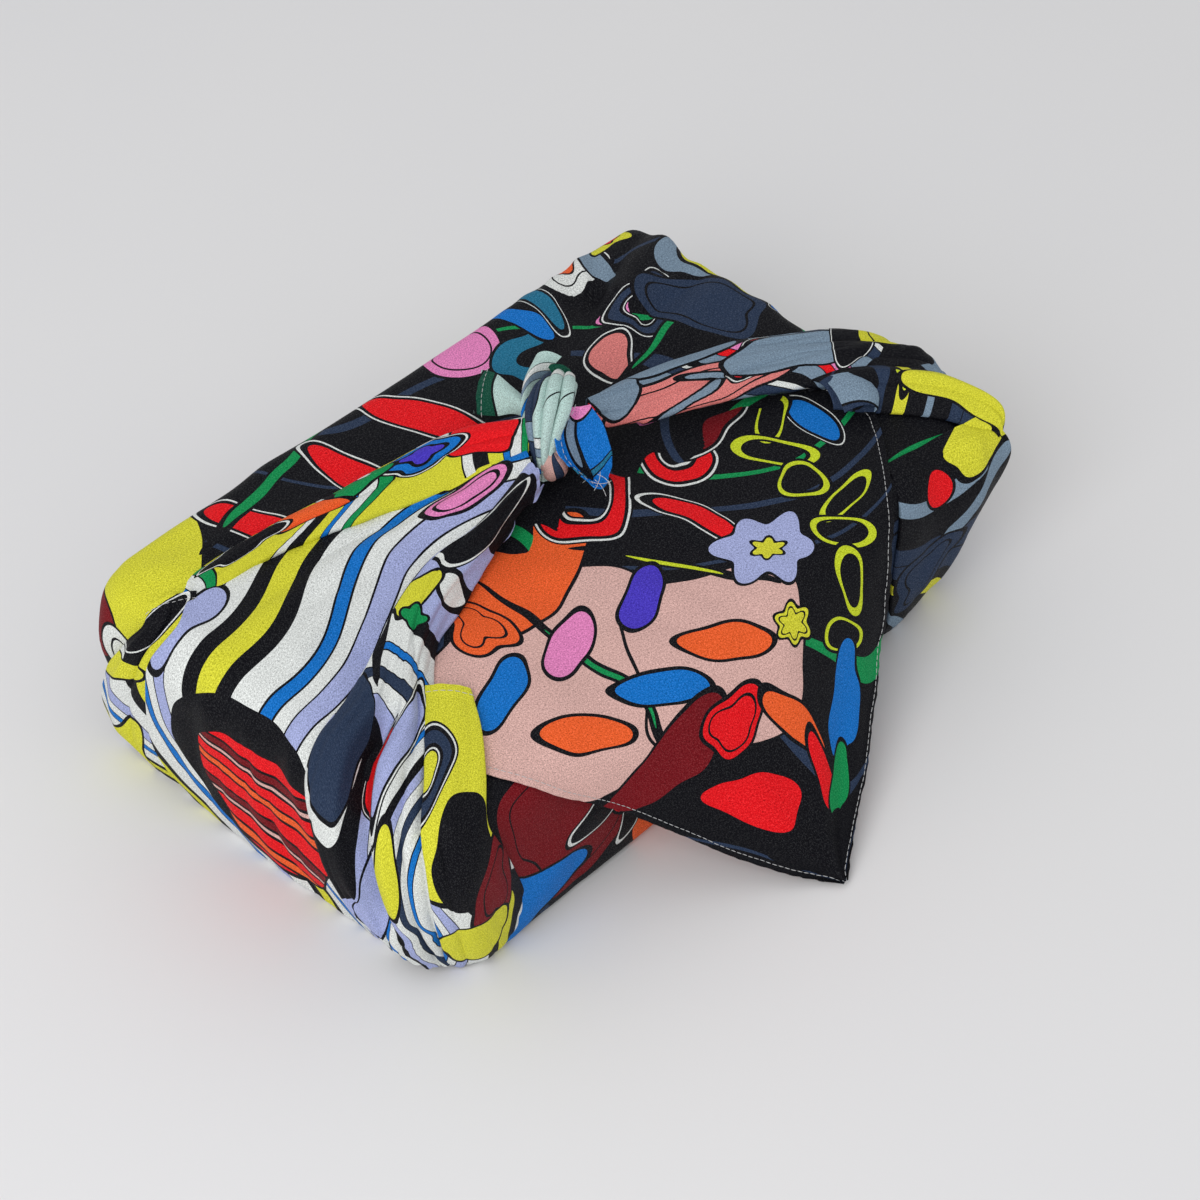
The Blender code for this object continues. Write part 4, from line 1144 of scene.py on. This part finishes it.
STRAND_MOTIFS = [
    (-12, 40, 9, 3, 0.08, 84, 0.2, GREY_BLUE), (12, 44, 13, 2, 0.08, 86, 0.26, SALMON, 0, -1, 3.6),
    (0, 14, 13, 3, 0.1, 10, 0.9, GREY_BLUE), (16, 44, 3.2, 2, 0.3, 66, 0.2, GREY_BLUE),
    (6, 58, 2.6, 2, 0.3, 104, 0.24, GREY_BLUE), (0, 84, 9, 3, 0.16, 60, 0.5, RED, 1.1),
    (0, 96, 14, 3, 0.12, 80, 0.5, GREY_BLUE), (-10, 124, 9, 2, 0.14, 20, 0.4, INK, 1),
    (10, 140, 10, 3, 0.16, 40, 0.6, INK), (-28, 158, 20, 3, 0.14, 50, 0.6, YELLOW, 0, -1, 5),
    (26, 186, 22, 3, 0.14, 20, 0.7, SLATE), (-16, 206, 10, 0, 0, 0, 1, RED),
    (-46, 200, 15, 3, 0.14, 0, 0.5, YELLOW),
]
RIGHT_ROLL_MOTIFS = [
    (0, 18, 7, 2, 0.1, 10, 0.4, INK), (2, 34, 2, 0, 0, 0, 0.2, LIME),
    (0, 62, 15, 3, 0.2, 84, 0.6, YELLOW),
]
FRONT_END_MOTIFS = [
    (1.6, 15, 2.8, 2, 0.1, 88, 0.2, GREY_BLUE), (4, 3, 5, 0, 0, 0, 0.9, PINK),
]
WALL_MOTIFS = [
    (24, 10, 11, 3, 0.15, 20, 0.4, YELLOW), (-8, 22, 8, 0, 0, 0, 1, RED),
    (14, 36, 6, 2, 0.1, 40, 0.25, GREY_BLUE), (-14, 60, 12, 3, 0.16, 20, 0.6, SLATE, 0, -1, 4),
]

# Prints: key, what it is the crepe of, bands, flow, motifs, stripes
# flow: angle (degrees), width of one set of bands (mm), swirl, its scale (per m), offset
# stripes: bands, then their flow and the width of the ink lines (share of the set)
PRINTS = [
    ("parcel", "the parcel", NIGHT_WAVES, (24, 150, 1.1, 9, 0.2), PARCEL_MOTIFS),
    ("flap", "the flap", NIGHT_WAVES, (70, 150, 0.9, 8, 0.1), FLAP_MOTIFS),
    ("panel", "the left end", LIGHT_WAVES, (10, 58, 0.9, 9, 0.3), PANEL_MOTIFS,
     (RED_STRIPES, 84, 34, 0.8, 14, 0.3, 0.05)),
    ("ear", "the left ear", LIGHT_WAVES, (70, 70, 1.2, 12, 0.1), EAR_MOTIFS),
    ("pleat", "the upper pleat", YELLOW_WAVES, (66, 66, 1.4, 14, 0.7), UPPER_PLEAT_MOTIFS),
    ("roll", "the left roll", ROLL_WAVES, (14, 84, 2.2, 10, 0.4), ROLL_MOTIFS),
    ("corner", "the left corner", LIGHT_WAVES, (8, 48, 1.6, 12, 0.9), CORNER_MOTIFS),
    ("strand", "the right strand", STRAND_WAVES, (58, 70, 1.2, 12, 0.5), STRAND_MOTIFS),
    ("right roll", "the right roll", SLATE_WAVES, (80, 46, 1.2, 14, 0.2), RIGHT_ROLL_MOTIFS),
    ("wall", "the right corner", SLATE_WAVES, (70, 90, 1.2, 10, 0.6), WALL_MOTIFS),
    ("tab", "the right tab", [(GREY_BLUE, 30), (SLATE, 4)], (80, 60, 0.6, 14, 0.2)),
    ("knot", "the knot", KNOT_WAVES, (78, 60, 1.2, 20, 0.1)),
    ("knot slate", "the knot's slate fold", [(SLATE, 20), (GREY_BLUE, 5)], (80, 44, 0.8, 20, 0.3)),
    ("knot mint", "the knot's mint fold", [(MINT, 24), (WHITE, 9), (MINT, 14)], (74, 56, 1.0, 20, 0.5)),
    ("knot pink", "the knot's pink fold", [(SKIN, 30), (SLATE, 7)], (12, 42, 1.2, 20, 0.05)),
    ("hem bit", "the knot's hem", [(DARK_GREEN, 20), (TEAL, 1)], (80, 40, 0.6, 20, 0.3)),
    ("front end", "the front end", [(BLUE, 40), (TEAL, 2)], (84, 90, 0.6, 20, 0.25), FRONT_END_MOTIFS),
    ("back end", "the back end", [(MINT, 20), (WHITE, 8), (GREY_BLUE, 3)], (64, 50, 1.0, 16, 0.6),
     [(0, 37, 5, 0, 0, 0, 0.2, DARK_GREEN)]),
]
materials = {key: printed_crepe("crepe of " + name, *rest) for key, name, *rest in PRINTS}
thread = sewing_thread()

# ---- The pieces ----
# name, print, sections, folds, cells across and along, then what else sets the run apart
RUNS = [
    ("front_flap", "flap", FLAP, FLAP_FOLDS, 150, 190,
     dict(hems=("left", "right"), uneven=0.9, place=flap_place, wrinkles=(26, 70, 0.7))),
    ("left_ear", "ear", LEFT_EAR, LEFT_EAR_FOLDS, 44, 110,
     dict(rolls=[("left", 1.2, 3)], hems=("start",), uneven=0.8)),
    ("left_upper_pleat", "pleat", LEFT_UPPER_PLEAT, LEFT_UPPER_PLEAT_FOLDS, 44, 150,
     dict(rolls=both(1.6, 3), gather=1.6, wrinkles=(4, 40, 0.6))),
    ("left_panel", "panel", LEFT_PANEL, LEFT_PANEL_FOLDS, 110, 170,
     dict(rolls=[("left", 1.3, 3), ("right", 1.4, 3)], uneven=0.8, wrinkles=(13, 70, 0.9))),
    ("left_roll", "roll", LEFT_ROLL, LEFT_ROLL_FOLDS, 90, 220,
     dict(rolls=both(1.5, 4), gather=1.7, wrinkles=(5, 46, 0.8))),
    ("left_hemmed_corner", "corner", LEFT_HEMMED_CORNER, LEFT_CORNER_FOLDS, 50, 130,
     dict(rolls=[("left", 1.2, 3), ("right", 1, 3)], hems=("start",), gather=1.2, wrinkles=(8, 40, 0.6))),
    ("right_strand", "strand", RIGHT_STRAND, RIGHT_STRAND_FOLDS, 90, 220,
     dict(rolls=both(1.8, 4), gather=1.3, uneven=0.6, wrinkles=(6, 50, 0.8))),
    ("right_tab", "tab", RIGHT_TAB, {}, 30, 36, dict(rolls=[("left", 1, 1.5)])),
    ("right_roll", "right roll", RIGHT_ROLL, RIGHT_ROLL_FOLDS, 44, 90,
     dict(rolls=both(1.6, 4), gather=1.5, wrinkles=(5, 40, 0.6))),
    ("right_corner", "wall", RIGHT_CORNER, RIGHT_CORNER_FOLDS, 80, 90,
     dict(rolls=both(1, 3), uneven=0.9, wrinkles=(14, 40, 0.7))),
    ("knot_standing_fold", "knot", KNOT_STANDING_FOLD, {}, 26, 40, dict(uneven=0.2)),
    ("knot_front_end", "front end", FRONT_END, FRONT_END_FOLDS, 44, 60,
     dict(hems=("left", "right"), stitched=("left",), uneven=0.2)),
    ("knot_back_end", "back end", BACK_END, {}, 40, 60, dict(hems=("end",))),
    ("knot_hem_bit", "hem bit", KNOT_HEM_BIT, {}, 20, 24, dict(hems=("left",), uneven=0.2)),
]
pieces = [parcel_cloth(materials["parcel"])]
for name, look, sections, folds, across, along, ways in RUNS:
    pieces.append(cloth_run(name, sections, folds, across, along, materials[look], **ways))
pieces.append(knot_band(materials["knot"]))
pieces += [knot_pleat(name, materials[look], *rest) for name, look, *rest in KNOT_PLEATS]
pieces += [knot_lump(name, centre, radii, materials[look]) for name, look, centre, radii in KNOT_LUMPS]
stitches = hem_stitches(thread)
thread_ends = loose_threads(thread)

for piece in [*pieces, stitches, thread_ends]:
    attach(piece, "root")
    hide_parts("furoshiki_cloth")

SMALLEST_SIDE = 0.0105       # m, just over the least that a sheet's side may be
LEAST_FILL = 0.35            # share of its flat rectangle that a piece's cloth fills at least


def cut_size(obj):
    """Sides of the rectangle that holds a piece's cloth laid flat, and one layer's area."""
    area = sum(face.area for face in obj.data.polygons) / 2
    corners = np.zeros(2 * len(obj.data.loops), np.float32)
    obj.data.uv_layers["cloth"].data.foreach_get("uv", corners)
    spread = np.ptp(corners.reshape(-1, 2), axis=0)
    width, length = (max(float(value), SMALLEST_SIDE) for value in spread)
    fill = area / (width * length)
    grow = min(max(1.0, math.sqrt(fill)), math.sqrt(fill / LEAST_FILL))
    return (width * grow, length * grow), area


for piece in pieces:
    if piece.name == "parcel_cloth":
        continue
    flat, area = cut_size(piece)

# ---- Floor, light and camera ----
floor_mesh = bpy.data.meshes.new("studio_floor")
floor_mesh.from_pydata([(-6, -6, 0), (6, -6, 0), (6, 6, 0), (-6, 6, 0)], [], [(0, 1, 2, 3)])
floor = placed("studio_floor", floor_mesh)
paper, tree, shader = new_material("pale paper", 0.8)
place = tree.nodes.new("ShaderNodeTexCoord").outputs["Object"]
fibres = add_node(tree, "ShaderNodeTexNoise", Vector=place, Scale=3.0).outputs["Fac"]
put(tree, shader["Base Color"], mixed(tree, fibres, linear(222, 222, 224), linear(228, 227, 226)))
floor_mesh.materials.append(paper)

world = bpy.data.worlds.new("pale studio")
world.use_nodes = True
world.node_tree.nodes["Background"].inputs["Color"].default_value = (0.98, 0.985, 1.0, 1.0)
world.node_tree.nodes["Background"].inputs["Strength"].default_value = 0.69
bpy.context.scene.world = world

window = bpy.data.lights.new("window_light", "AREA")
window.shape = "DISK"
window.size = 1.4
window.energy = 19.0
lamp = placed("window_light", window)
lamp.location = (-1.4, -0.6, 1.3)
lamp.rotation_euler = (Vector((0, 0, 0.03)) - lamp.location).to_track_quat("-Z", "Y").to_euler()

turn = math.radians(CAMERA_AZIMUTH)
rise = math.radians(CAMERA_ELEVATION)
back = Vector((math.sin(turn) * math.cos(rise), -math.cos(turn) * math.cos(rise), math.sin(rise)))
lens = bpy.data.cameras.new("camera")
lens.lens = CAMERA_LENS
lens.clip_start = 0.05
camera = placed("camera", lens)
camera.location = Vector(CAMERA_TARGET) + back * CAMERA_DISTANCE
camera.rotation_euler = back.to_track_quat("Z", "Y").to_euler()
bpy.context.scene.camera = camera
bpy.context.scene.view_settings.view_transform = "Standard"
